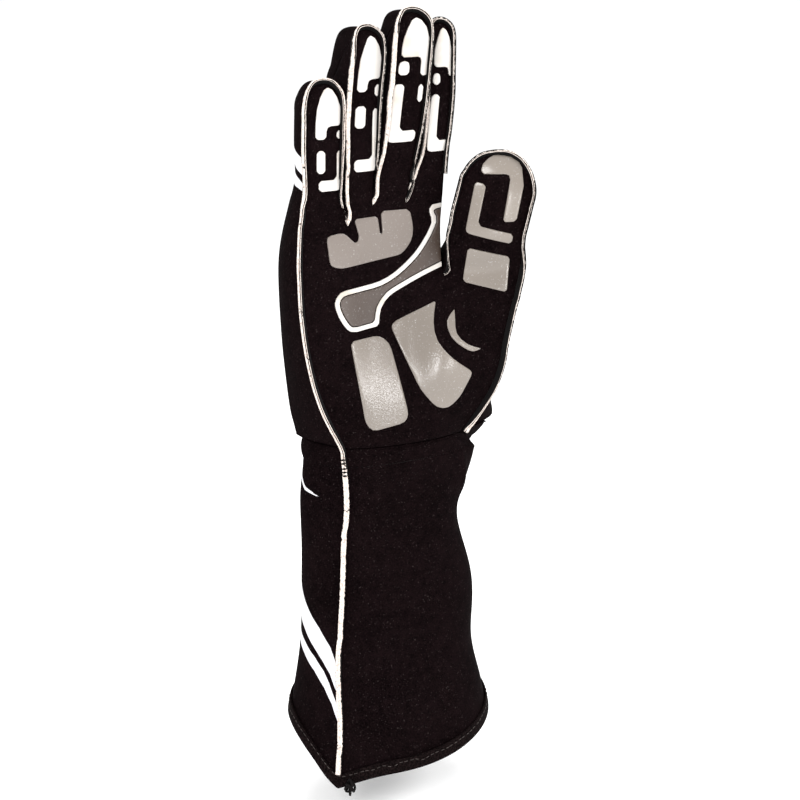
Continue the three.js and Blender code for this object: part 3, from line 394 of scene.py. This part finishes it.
def ridge_corners(node):
    """The ridge's four corners at each station: the ulnar one from the hem, others from the outer side."""
    ridge = merged_copy(node)
    sharp = {edge for edge in ridge.edges if edge.calc_face_angle(0) > rim_angle}
    twice = {face for face in ridge.faces if sum(edge in sharp for edge in face.edges) == 2}
    ends = []
    for flat in ridge.edges:
        if flat in sharp or not all(face in twice for face in flat.link_faces):
            continue
        one, other = flat.verts
        aside = [corner for face in flat.link_faces for corner in face.verts if corner not in flat.verts]
        ends.append([one, aside[0], other, aside[1]])
    axis = 2 if node == "ulnar_seam" else 0
    ring = min(ends, key=lambda end: sum(corner.co[axis] for corner in end))
    rings = []
    seen = set()
    while ring:
        rings.append([corner.co.copy() for corner in ring])
        seen.update(ring)
        after = []
        for corner in ring:
            ways = [edge.other_vert(corner) for edge in corner.link_edges if edge in sharp]
            ways = [way for way in ways if way not in seen]
            if ways:
                after.append(ways[0])
        ring = after if len(after) == 4 else None
    ridge.free()
    return np.array([[list(corner) for corner in ring] for ring in rings])


def unit(rows):
    return rows / np.maximum(np.linalg.norm(rows, axis=-1, keepdims=True), 1e-9)


def even_run(rows, spacing):
    """Rows of numbers, led by three that are a place, carried along a smooth line at even steps."""
    lengths = np.linalg.norm(np.diff(rows[:, :3], axis=0), axis=1)
    reach = np.concatenate([[0], np.cumsum(lengths)])
    slopes = np.gradient(rows, reach, axis=0)
    count = max(2, round(reach[-1] / spacing))
    at = np.linspace(0, reach[-1], count + 1)
    step = np.clip(np.searchsorted(reach, at, side="right") - 1, 0, len(lengths) - 1)
    span = lengths[step][:, None]
    t = ((at - reach[step]) / lengths[step])[:, None]
    first, second = rows[step], rows[step + 1]
    return ((2 * t**3 - 3 * t**2 + 1) * first + (t**3 - 2 * t**2 + t) * span * slopes[step]
            + (3 * t**2 - 2 * t**3) * second + (t**3 - t**2) * span * slopes[step + 1]), at


crotch_half = 0.6 * mm


def crotch_end(strip, near):
    """The last two stations of a seam that runs down into a crotch: beside its foot, and at its foot."""
    places = np.array([list(corner.co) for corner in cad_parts[strip].data.vertices])
    foot = places[np.argmin(places[:, 2] + 0.45 * places[:, 1])]
    foot = np.array([foot[0], foot[1] + 0.3 * mm, foot[2] - 0.4 * mm])
    side = np.sign(near[0] - foot[0])
    beside = foot + np.array([side * 0.9 * mm, 0, 1.6 * mm])
    beside[1] = 0.5 * (foot[1] + near[1])
    forward = [0.0, -1.0, 0.0]
    return [[*beside, *forward, side * 0.8, 0, -0.6, crotch_half],
            [*foot, *forward, side * 0.1, 0, -1, crotch_half]]


# The strips whose crotches a seam's first and last stations run down into
crotch_strips = {
    "ulnar_seam": (None, "little_ring_strip"),
    "ring_seam": ("little_ring_strip", "ring_middle_strip"),
    "middle_seam": ("ring_middle_strip", "middle_index_strip"),
    "index_seam": ("middle_index_strip", None),
    "thumb_seam": ("thumb_web_strip", None),
}


station_step = 0.8 * mm
cloth_reach = 1.2 * mm
least_half = 0.5 * mm


def seam_run(node):
    """The seam as even stations: foot on the cloth, way out, way to the front panel and half width."""
    corners = ridge_corners(node)
    away = np.array([[all_cloth.find_nearest(Vector(corner))[3] for corner in ring] for ring in corners])
    first = min(range(4), key=lambda side: (away[:, side] + away[:, (side + 1) % 4]).mean())
    foot_a, foot_b, top_b, top_a = [corners[:, (first + turn) % 4] for turn in range(4)]
    foot = (foot_a + foot_b) / 2
    out = unit((top_a + top_b) / 2 - foot)
    inner = (foot_b - foot_a) / 2
    along = np.gradient(foot, axis=0)
    towards = np.cross(along, out)
    if (inner * towards).sum() < 0:
        inner = -inner
    drop = np.clip([all_cloth.find_nearest(Vector(place))[3] for place in foot], 0, cloth_reach)
    drop = np.convolve(np.pad(drop, 1, mode="edge"), [0.25, 0.5, 0.25], mode="valid")
    foot = foot - out * drop[:, None]
    half = np.linalg.norm(inner, axis=1, keepdims=True)
    rows = np.hstack([foot, out, unit(inner), half])
    before, after = crotch_strips.get(node, (None, None))
    if before:
        rows = np.vstack([crotch_end(before, rows[0])[::-1], rows])
    if after:
        rows = np.vstack([rows, crotch_end(after, rows[-1])])
    rows, at = even_run(rows, station_step)
    on_cloth = []
    for place in rows[:, :3]:
        hit, _, _, away = all_cloth.find_nearest(Vector(place))
        on_cloth.append(list(hit) if away < cloth_reach else list(place))
    smoothed = np.array(on_cloth)
    for _ in range(3):
        smoothed[1:-1] = 0.25 * smoothed[:-2] + 0.5 * smoothed[1:-1] + 0.25 * smoothed[2:]
    return {"foot": smoothed, "out": unit(rows[:, 3:6]), "inner": unit(rows[:, 6:9]),
            "half": np.maximum(rows[:, 9], least_half), "at": at}


# The flange's section: across in half widths from the outer side to the front one, height in mm
flange_section = [
    (-1.00, -0.10), (-1.05, 0.8), (-1.08, 1.5), (-1.02, 2.05), (-0.80, 2.40), (-0.45, 2.50), (-0.14, 2.38),
    (0.00, 2.12), (0.14, 2.38), (0.45, 2.50), (0.80, 2.40), (1.02, 2.05), (1.08, 1.5), (1.05, 0.8),
    (1.00, -0.10),
]
full_half = 0.75 * mm
fray_length = 1.1 * mm
curl_length = 9 * mm


def sewn_flange(name, node, run, bands, material):
    """Sweeps the flange along the seam by extruding its section from station to station."""
    flange = bmesh.new()
    keys = ("across", "along", "low", "high", "line")
    layers = {key: flange.verts.layers.float.new(key) for key in keys}
    count = len(flange_section)
    length = run["at"][-1]
    spread = 1.15 if node == "ulnar_seam" else 1.1

    def set_ring(ring, station):
        foot, out, inner = (Vector(run[key][station]) for key in ("foot", "out", "inner"))
        at = run["at"][station]
        narrow = max(run["half"][station] / full_half, 0.2)
        widened = run["half"][station] * spread
        low, high, line = bands(at / length, foot)
        for place, corner in enumerate(ring):
            across, height = flange_section[place]
            fray = noise.noise(Vector((at / fray_length, place * 0.7, len(name))))
            curl = noise.noise(Vector((at / curl_length, 5.0, len(name))))
            top = min(1.0, max(0.0, height / 2.4))
            rise = height * (0.75 + 0.25 * min(1, narrow)) + 0.16 * fray * top
            lean = (0.10 * fray + 0.22 * curl) * top
            corner.co = foot + out * (rise * mm) + inner * (across * widened + lean * mm)
            corner[layers["across"]] = 2 * place / (count - 1) - 1
            corner[layers["along"]] = at
            corner[layers["low"]] = low
            corner[layers["high"]] = high
            corner[layers["line"]] = line

    ring = [flange.verts.new((place * mm, 0, 0)) for place in range(count)]
    edges = [flange.edges.new((ring[place], ring[(place + 1) % count])) for place in range(count)]
    flange.faces.new(ring)
    set_ring(ring, 0)
    for station in range(1, len(run["at"])):
        made = bmesh.ops.extrude_edge_only(flange, edges=edges)["geom"]
        fresh = [item for item in made if isinstance(item, bmesh.types.BMVert)]
        ring = [min(fresh, key=lambda corner: (corner.co - old.co).length_squared) for old in ring]
        edges = [flange.edges.get((ring[place], ring[(place + 1) % count])) for place in range(count)]
        set_ring(ring, station)
    flange.faces.new(ring)
    bmesh.ops.recalc_face_normals(flange, faces=flange.faces)
    mesh = bpy.data.meshes.new(name)
    flange.to_mesh(mesh)
    flange.free()
    return new_piece(name, mesh, material, node)


def raw_edge(name, cream, shade):
    edge = Finish(name, {"Specular IOR Level": 0.2})
    place = edge.place()
    fibre = edge.grain(place, 0.5 * mm, 3, 0.65)
    tuft = edge.grain(place, 1.7 * mm, 2)
    across = edge.value("across") + (fibre - 0.5) * 0.7 + (tuft - 0.5) * 0.5
    band = (across - edge.value("low")).step(-0.06, 0.06) * (edge.value("high") - across).step(-0.06, 0.06)
    thin = edge.value("across") + (fibre - 0.5) * 0.05 - edge.value("line")
    line = 1 - abs(thin).step(0.035, 0.075)
    gaps = (tuft + (fibre - 0.5) * 0.6).step(0.20, 0.30)
    cream_share = (band + line).step(0.1, 0.9) * gaps
    cream_colour = edge.blend(fibre.step(0.25, 0.7), shade, cream)
    colour = edge.blend(cream_share, cloth_dark, cream_colour)
    edge.wear(colour, 0.88 + 0.08 * fibre, fibre + 0.4 * tuft, 0.8, 0.25 * mm)
    return edge.material


cream_edge = raw_edge("cream_edge", (0.78, 0.72, 0.66, 1), (0.42, 0.33, 0.29, 1))

# Across a flange, from -1 on the outer side to 1 on the front: the cream band's two edges and a thin line
no_line = 5.0


def between(share, stops):
    """Reads a short table of stops, each a share of the seam and three values."""
    table = np.array(stops)
    return [float(np.interp(share, table[:, 0], table[:, column])) for column in (1, 2, 3)]


def ulnar_bands(share, foot):
    height = foot.z / mm
    if height < 10:
        return -0.58, 0.50, no_line
    if height < 100:
        return -0.90, 0.10, 0.40
    return between(share, [
        (0, -0.9, 0.1, 0.40), (0.78, -0.80, 0.05, 0.36), (0.86, -0.55, -0.2, 0.2), (1, -0.3, -0.05, 0.3)])


def finger_bands(share, foot):
    return between(share, [
        (0.00, -0.85, 0.60, 0.80), (0.40, -0.85, 0.45, 0.70), (0.47, -0.60, -0.20, 0.30),
        (0.53, -0.50, -0.25, 0.30), (0.60, -0.12, 0.05, 0.36), (1.00, -0.14, 0.08, 0.40)])


def index_bands(share, foot):
    return between(share, [
        (0.00, -0.80, 0.50, 0.72), (0.34, -0.70, 0.30, 0.60), (0.44, -0.50, -0.20, 0.30),
        (0.55, -0.10, 0.06, 0.34), (1.00, -0.10, 0.06, 0.34)])


def thumb_bands(share, foot):
    return between(share, [
        (0.00, -0.12, 0.02, 0.34), (0.30, -0.12, 0.02, 0.34), (0.36, -0.45, -0.22, 0.26),
        (0.45, -0.12, 0.06, 0.34), (0.86, -0.12, 0.08, 0.34), (0.94, -0.50, 0.20, 0.45),
        (1.00, -0.80, 0.70, 0.80)])


def cuff_bands(share, foot):
    return -0.15, 0.05, no_line


seams = [
    ("ulnar_flange", "ulnar_seam", ulnar_bands),
    ("ring_flange", "ring_seam", finger_bands),
    ("middle_flange", "middle_seam", finger_bands),
    ("index_flange", "index_seam", index_bands),
    ("thumb_flange", "thumb_seam", thumb_bands),
    ("cuff_radial_flange", "cuff_radial_seam", cuff_bands),
]
runs = {}
for name, node, bands in seams:
    runs[node] = seam_run(node)
    sewn_flange(name, node, runs[node], bands, cream_edge)


def thread(name, pale, deep):
    twisted = Finish(name, {"Specular IOR Level": 0.1})
    place = twisted.place()
    ply = twisted.grain(place, 0.3 * mm, 2)
    twisted.wear(twisted.blend(ply.step(0.35, 0.7), deep, pale), 0.65 + 0.2 * ply, ply, 0.6, 0.1 * mm)
    return twisted.material


black_thread = thread("black_thread", (0.004, 0.0025, 0.0025, 1), (0.001, 0.0006, 0.0006, 1))


def sew(name, material, stitches, radius):
    """One mesh of rounded stitches; each stitch is its middle, its way along and its length."""
    seam = bmesh.new()
    for middle, along, out, length in stitches:
        aside = out.cross(along).normalized()
        up = aside.cross(along).normalized()
        turned = Matrix((aside * radius, along.normalized() * (length / 2), up * radius))
        place = Matrix.Translation(middle) @ turned.transposed().to_4x4()
        bmesh.ops.create_icosphere(seam, subdivisions=2, radius=1.0, matrix=place)
    mesh = bpy.data.meshes.new(name)
    bmesh.ops.recalc_face_normals(seam, faces=seam.faces)
    seam.to_mesh(mesh)
    seam.free()
    return new_piece(name, mesh, material)


# Black thread wraps the ulnar flange where the hand is sewn to the cuff
wraps = []
wrap_low = 5.5
wrap_high = 15.5
wrap_pitch = 1.9
wrap_rise = 2.45 * mm
wrap_length = 2.0 * mm
ulnar = runs["ulnar_seam"]
wrap_count = int((wrap_high - wrap_low) / wrap_pitch)
for wrap in range(wrap_count):
    height = (wrap_low + wrap * wrap_pitch) * mm
    station = int(np.argmin(np.abs(ulnar["foot"][:, 2] - height)))
    foot, out, inner = (Vector(ulnar[key][station]) for key in ("foot", "out", "inner"))
    lean = 0.25 * noise.noise(Vector((wrap * 1.7, 3.0, 0.5)))
    wraps.append((foot + out * wrap_rise, inner + Vector((0, 0, lean)), out, wrap_length))
sew("wrist_wraps", black_thread, wraps, 0.45 * mm)


# -----------------------------------------------------------------------------------------------
# The printed grips
# Thick silicone is screened onto the cloth in flat pads with rounded edges: matt cream white on the
# fingers, clear grey with a fine sparkle on the thumb and palm, and a bordered grey field.

palm_surface = tree_of(palm)
# Millimetres: the print's thickness, its rounded rim, its gap to the cloth and the steps of its mesh
print_height = 0.5
print_round = 0.35
print_gap = 0.03
outline_step = 0.35
row_step = 0.9
spot_step = 1.0
rim_clear = 0.7
above_palm = 12 * mm


def pad_loops(node):
    """The outlines of the pad's outer face, and the way that it faces."""
    pad = merged_copy(node)
    total = sum(face.calc_area() for face in pad.faces)
    broad = [group for group in walls(pad) if sum(face.calc_area() for face in group) > 0.2 * total]
    away = [np.mean([palm_surface.find_nearest(face.calc_center_median())[3] for face in group])
            for group in broad]
    outer = broad[int(np.argmax(away))]
    inside = set(outer)
    facing = sum((face.normal * face.calc_area() for face in outer), Vector()).normalized()
    follow = {}
    for face in outer:
        for loop in face.loops:
            if len([other for other in loop.edge.link_faces if other in inside]) == 1:
                follow[loop.vert] = loop.link_loop_next.vert
    outlines = []
    while follow:
        start, corner = follow.popitem()
        outline = [start.co.copy()]
        while corner in follow:
            outline.append(corner.co.copy())
            corner = follow.pop(corner)
        outlines.append(outline)
    pad.free()
    return outlines, facing


def softened(flat):
    """A closed outline at even steps, with its corners rounded off."""
    closed = np.vstack([flat, flat[:1]])
    reach = np.concatenate([[0], np.cumsum(np.linalg.norm(np.diff(closed, axis=0), axis=1))])
    count = max(12, round(reach[-1] / outline_step))
    at = np.linspace(0, reach[-1], count, endpoint=False)
    even = np.stack([np.interp(at, reach, closed[:, axis]) for axis in (0, 1)], axis=1)
    return 0.5 * even + 0.25 * np.roll(even, 1, axis=0) + 0.25 * np.roll(even, -1, axis=0)


def printed_pad(name, node, material):
    """A pad laid on the palm's surface inside the node's outline, with a rounded rim."""
    outlines, facing = pad_loops(node)
    middle = sum((corner for outline in outlines for corner in outline), Vector())
    middle /= sum(len(outline) for outline in outlines)
    up = (Vector((0, 0, 1)) - facing * facing.z).normalized()
    side = up.cross(facing)
    flat_outlines = []
    for outline in outlines:
        arms = [corner - middle for corner in outline]
        flat = np.array([(arm.dot(side) / mm, arm.dot(up) / mm) for arm in arms])
        flat_outlines.append(softened(flat))
    points = [Vector(point) for flat in flat_outlines for point in flat]
    edges = []
    first = 0
    for flat in flat_outlines:
        edges += [(first + place, first + (place + 1) % len(flat)) for place in range(len(flat))]
        first += len(flat)
    rim = KDTree(len(points))
    for place, point in enumerate(points):
        rim.insert((point.x, point.y, 0), place)
    rim.balance()
    for flat in flat_outlines:
        ahead = np.roll(flat, -1, axis=0) - np.roll(flat, 1, axis=0)
        aside = unit(np.stack([-ahead[:, 1], ahead[:, 0]], axis=1))
        for inset in (0.08, 0.2, print_round):
            for sign in (1, -1):
                for point in flat + sign * inset * aside:
                    if rim.find((point[0], point[1], 0))[2] > 0.85 * inset:
                        points.append(Vector(point))
    low = np.min(np.vstack(flat_outlines), axis=0)
    high = np.max(np.vstack(flat_outlines), axis=0)
    for row, y in enumerate(np.arange(low[1], high[1], row_step)):
        for x in np.arange(low[0] + 0.5 * (row % 2), high[0], spot_step):
            if rim.find((x, y, 0))[2] > rim_clear:
                points.append(Vector((x, y)))
    spots, _, faces, *_ = delaunay_2d_cdt(points, edges, [], 4, 1e-5)
    pad = bmesh.new()
    tops = []
    lows = []
    for place, spot in enumerate(spots):
        start = middle + side * (spot.x * mm) + up * (spot.y * mm) + facing * above_palm
        hit, normal, _, _ = palm_surface.ray_cast(start, -facing)
        if hit is None:
            hit, normal, _, _ = palm_surface.find_nearest(start - facing * above_palm)
        inward = min(1.0, rim.find((spot.x, spot.y, 0))[2] / print_round)
        rise = print_height * math.sqrt(max(0.0, 1 - (1 - inward) ** 2))
        lows.append(pad.verts.new(hit + normal * (print_gap * mm)))
        tops.append(pad.verts.new(hit + normal * ((print_gap + rise) * mm)) if inward > 1e-3 else lows[-1])
    for face in faces:
        if len({tops[corner] for corner in face}) == len(face):
            pad.faces.new([tops[corner] for corner in face])
            if any(tops[corner] is not lows[corner] for corner in face):
                pad.faces.new([lows[corner] for corner in reversed(face)])
    bmesh.ops.delete(pad, geom=[corner for corner in pad.verts if not corner.link_faces], context="VERTS")
    mesh = bpy.data.meshes.new(name)
    pad.to_mesh(mesh)
    pad.free()
    return new_piece(name, mesh, material, node)


def white_print():
    """Matt cream-white silicone with warmer beige patches laid at random, which are painted shade."""
    silicone = Finish("white_print", {"Specular IOR Level": 0.35})
    place = silicone.place()
    pebble = silicone.grain(place, 0.6 * mm, 2)
    cloud = silicone.grain(place, 9 * mm, 3)
    # The beige in the cloud patches is painted shade
    colour = silicone.blend(cloud.step(0.45, 0.75), (0.58, 0.555, 0.525, 1), (0.45, 0.395, 0.34, 1))
    silicone.wear(colour, 0.5 + 0.15 * cloud, pebble, 0.25, 0.08 * mm)
    return silicone.material


def grey_print(name, pale, deep, gloss):
    """Clear silicone over black cloth, with a fine glitter and a soft shine."""
    silicone = Finish(name, {"Specular IOR Level": 0.6})
    place = silicone.place()
    glitter = silicone.grain(place, 0.45 * mm, 2, 0.7)
    cloud = silicone.grain(place, 30 * mm, 1)
    colour = silicone.blend(cloud.step(0.2, 0.8), deep, pale)
    colour = silicone.blend(glitter.step(0.62, 0.72) * 0.25, colour, (0.7, 0.7, 0.7, 1))
    silicone.wear(colour, gloss + 0.16 * cloud, glitter, 0.55, 0.1 * mm)
    return silicone.material


finger_print = white_print()
palm_print = grey_print("palm_print", (0.208, 0.180, 0.154, 1), (0.148, 0.127, 0.109, 1), 0.08)
# The pad below the fingers takes a darker copy of the same print: painted shade
upper_print = grey_print("upper_print", (0.160, 0.134, 0.117, 1), (0.112, 0.093, 0.081, 1), 0.2)
field_print = grey_print("field_print", (0.058, 0.040, 0.031, 1), (0.040, 0.027, 0.021, 1), 0.26)
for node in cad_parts:
    if node.endswith("_grip"):
        finish = palm_print if node.startswith(("palm", "thumb")) else finger_print
        # The darker copy of the palm print, painted shade, goes on the pad below the fingers
        if node == "palm_upper_grip":
            finish = upper_print
        printed_pad(node.replace("_grip", "_print"), node, finish)
printed_pad("palm_border_print", "palm_panel_border", finger_print)
printed_pad("palm_field_print", "palm_panel_filling", field_print)


# -----------------------------------------------------------------------------------------------
# The hem
# A ribbed tape is folded over the cuff's lower edge and held by one row of lighter thread. The ulnar
# seam's thread ends in a knot on it.

rib_scale = 420.0


def tape():
    ribbed = Finish("hem_tape", {"Specular IOR Level": 0.02})
    place = ribbed.place()
    rib = ribbed.node("ShaderNodeTexWave", {"bands_direction": "X"}, {
        "Vector": place, "Scale": rib_scale, "Distortion": 1.0, "Detail": 2.0}, 1)
    fibre = ribbed.grain(place, 0.4 * mm, 2)
    colour = ribbed.blend(fibre.step(0.3, 0.8), (0.0006, 0.0003, 0.0003, 1), (0.011, 0.0065, 0.0065, 1))
    ribbed.wear(colour, 0.7 + 0.15 * fibre, rib + 0.5 * fibre, 0.4, 0.15 * mm)
    return ribbed.material


hem = rounded_sheet("hem_tape", "hem_binding", 3, tape(), rim=0.55)

# The tape's upper edge, turn by turn round the cuff, for the row of stitches just below it
hem_surface = tree_of(hem)
hem_places = corners_of(hem.data)
hem_middle = hem_places.mean(axis=0)
hem_turns = np.arctan2(hem_places[:, 1] - hem_middle[1], hem_places[:, 0] - hem_middle[0])
turn_count = 360
turn_of = (hem_turns / (2 * math.pi) * turn_count).astype(int) % turn_count
unset = -1.0
hem_top = np.full(turn_count, unset)
for turn, height in zip(turn_of, hem_places[:, 2]):
    hem_top[turn] = max(hem_top[turn], height)
filled = np.flatnonzero(hem_top > unset)
hem_top = np.interp(np.arange(turn_count), filled, hem_top[filled], period=turn_count)
smooth_turns = 7
spread = np.hanning(2 * smooth_turns + 1)
hem_top = np.convolve(np.pad(hem_top, smooth_turns, mode="wrap"), spread / spread.sum(), mode="valid")

hem_thread = thread("hem_thread", (0.060, 0.050, 0.046, 1), (0.020, 0.016, 0.015, 1))
stitch_below = 1.3 * mm
stitch_pitch = 2.6 * mm
stitch_length = 1.9 * mm
stitch_rise = 0.08 * mm
stitch_path = []
for turn in range(turn_count):
    angle = 2 * math.pi * turn / turn_count
    way = Vector((math.cos(angle), math.sin(angle), 0))
    start = Vector((hem_middle[0], hem_middle[1], hem_top[turn] - stitch_below)) + way * 0.2
    hit, normal, _, _ = hem_surface.ray_cast(start, -way)
    if hit is not None:
        stitch_path.append((hit, normal))
hem_stitches = []
travelled = 0.0
for (here, normal), (ahead, _) in zip(stitch_path, stitch_path[1:] + stitch_path[:1]):
    travelled += (ahead - here).length
    if travelled > stitch_pitch:
        travelled -= stitch_pitch
        hem_stitches.append((here + normal * stitch_rise, ahead - here, normal, stitch_length))
sew("hem_stitches", hem_thread, hem_stitches, 0.2 * mm)

# The second row below the wrist seam
cuff_surface = tree_of(cuff_palm, cuff_back)
row_stitches = []
row_count = 96
row_length = 1.7 * mm
for turn in range(row_count):
    angle = 2 * math.pi * turn / row_count
    way = Vector((math.cos(angle), math.sin(angle), 0))
    hit, normal, _, _ = cuff_surface.ray_cast(Vector((0, 0, topstitch * mm)) + way * 0.2, -way)
    if hit is not None:
        row_stitches.append((hit, Vector((-way.y, way.x, 0)), normal, row_length))
sew("wrist_stitches", black_thread, row_stitches, 0.12 * mm)

# The knot: a few turns of thick thread wound round each other
knot_low, knot_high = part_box("seam_end_knot")
knot_middle = (knot_low + knot_high) / 2
knot_turns = 4
turn_steps = 16
wide = (knot_high.x - knot_low.x) / 2 - 0.7 * mm
tall = (knot_high.z - knot_low.z) / 2 - 0.5 * mm
deep = (knot_high.y - knot_low.y) / 2 - 0.5 * mm
knot_points = []
for step in range(knot_turns * turn_steps):
    angle = 2 * math.pi * step / turn_steps
    tilt = 2 * math.pi * step / (knot_turns * turn_steps)
    knot_points.append(knot_middle + Vector((
        wide * math.cos(angle) * math.cos(tilt),
        deep * math.sin(angle),
        tall * math.cos(angle) * math.sin(tilt) + 0.25 * tall * math.sin(2 * angle + tilt))))
winding = bpy.data.curves.new("knot", "CURVE")
winding.dimensions = "3D"
winding.bevel_depth = 0.55 * mm
winding.bevel_resolution = 3
strand = winding.splines.new("NURBS")
strand.points.add(len(knot_points) - 1)
for point, place in zip(strand.points, knot_points):
    point.co = (*place, 1)
strand.use_cyclic_u = True
strand.resolution_u = 3
wound = bpy.data.objects.new("wound", winding)
bpy.context.scene.collection.objects.link(wound)
thickened = wound.evaluated_get(bpy.context.evaluated_depsgraph_get())
knot_mesh = bpy.data.meshes.new_from_object(thickened)
bpy.data.objects.remove(wound)
new_piece("thread_knot", knot_mesh, black_thread, "seam_end_knot")


# -----------------------------------------------------------------------------------------------
# The stage
# A pale floor in a white surround, three broad soft lights, and two small ones low in front that make
# the soft highlights on the palm prints. The camera stands at the photo's angle.

floor_height = -0.152


def pale_floor():
    ground = Finish("pale_floor", {"Specular IOR Level": 0.1})
    place = ground.place()
    grain = ground.grain(place, 60 * mm, 2)
    colour = ground.blend(grain, (0.96, 0.96, 0.96, 1), (0.98, 0.98, 0.98, 1))
    ground.wear(colour, 0.9 + 0.05 * grain, grain, 0.02, 0.1 * mm)
    return ground.material


ground = bmesh.new()
floor_place = Matrix.Translation((0, 0, floor_height))
bmesh.ops.create_grid(ground, x_segments=2, y_segments=2, size=6.0, matrix=floor_place)
ground_mesh = bpy.data.meshes.new("floor")
ground.to_mesh(ground_mesh)
ground.free()
floor = bpy.data.objects.new("floor", ground_mesh)
ground_mesh.materials.append(pale_floor())
bpy.context.scene.collection.objects.link(floor)

surround = bpy.data.worlds.new("surround")
bpy.context.scene.world = surround
surround.use_nodes = True
surround.node_tree.nodes["Background"].inputs["Color"].default_value = (1.0, 1.0, 1.0, 1)
surround.node_tree.nodes["Background"].inputs["Strength"].default_value = 1.04

target = Vector((0.006, 0.0, 0.030))


def soft_light(name, place, size, power):
    light = bpy.data.lights.new(name, "AREA")
    light.shape = "DISK"
    light.size = size
    light.energy = power
    lamp = bpy.data.objects.new(name, light)
    lamp.location = place
    lamp.rotation_mode = "QUATERNION"
    lamp.rotation_quaternion = (target - Vector(place)).to_track_quat("-Z", "Y")
    bpy.context.scene.collection.objects.link(lamp)


soft_light("left_box", (-0.75, -0.75, 0.55), 0.6, 9)
soft_light("right_box", (0.8, -0.6, 0.7), 0.5, 8)
soft_light("top_box", (0.1, 0.2, 1.2), 0.9, 8)
soft_light("thumb_box", (-0.16, -1.10, -0.06), 0.12, 1.1)
soft_light("heel_box", (0.27, -1.04, -0.075), 0.12, 0.8)

lens = bpy.data.cameras.new("photo_camera")
lens.sensor_width = 36
lens.lens = 82.8
lens.clip_start = 0.01
camera = bpy.data.objects.new("photo_camera", lens)
view_way = Vector((-0.4042, -0.8667, 0.2924))
camera_distance = 0.8
camera.location = target + view_way * camera_distance
camera.rotation_mode = "QUATERNION"
camera.rotation_quaternion = (-view_way).to_track_quat("-Z", "Y")
bpy.context.scene.collection.objects.link(camera)
bpy.context.scene.camera = camera
bpy.context.scene.view_settings.view_transform = "Standard"
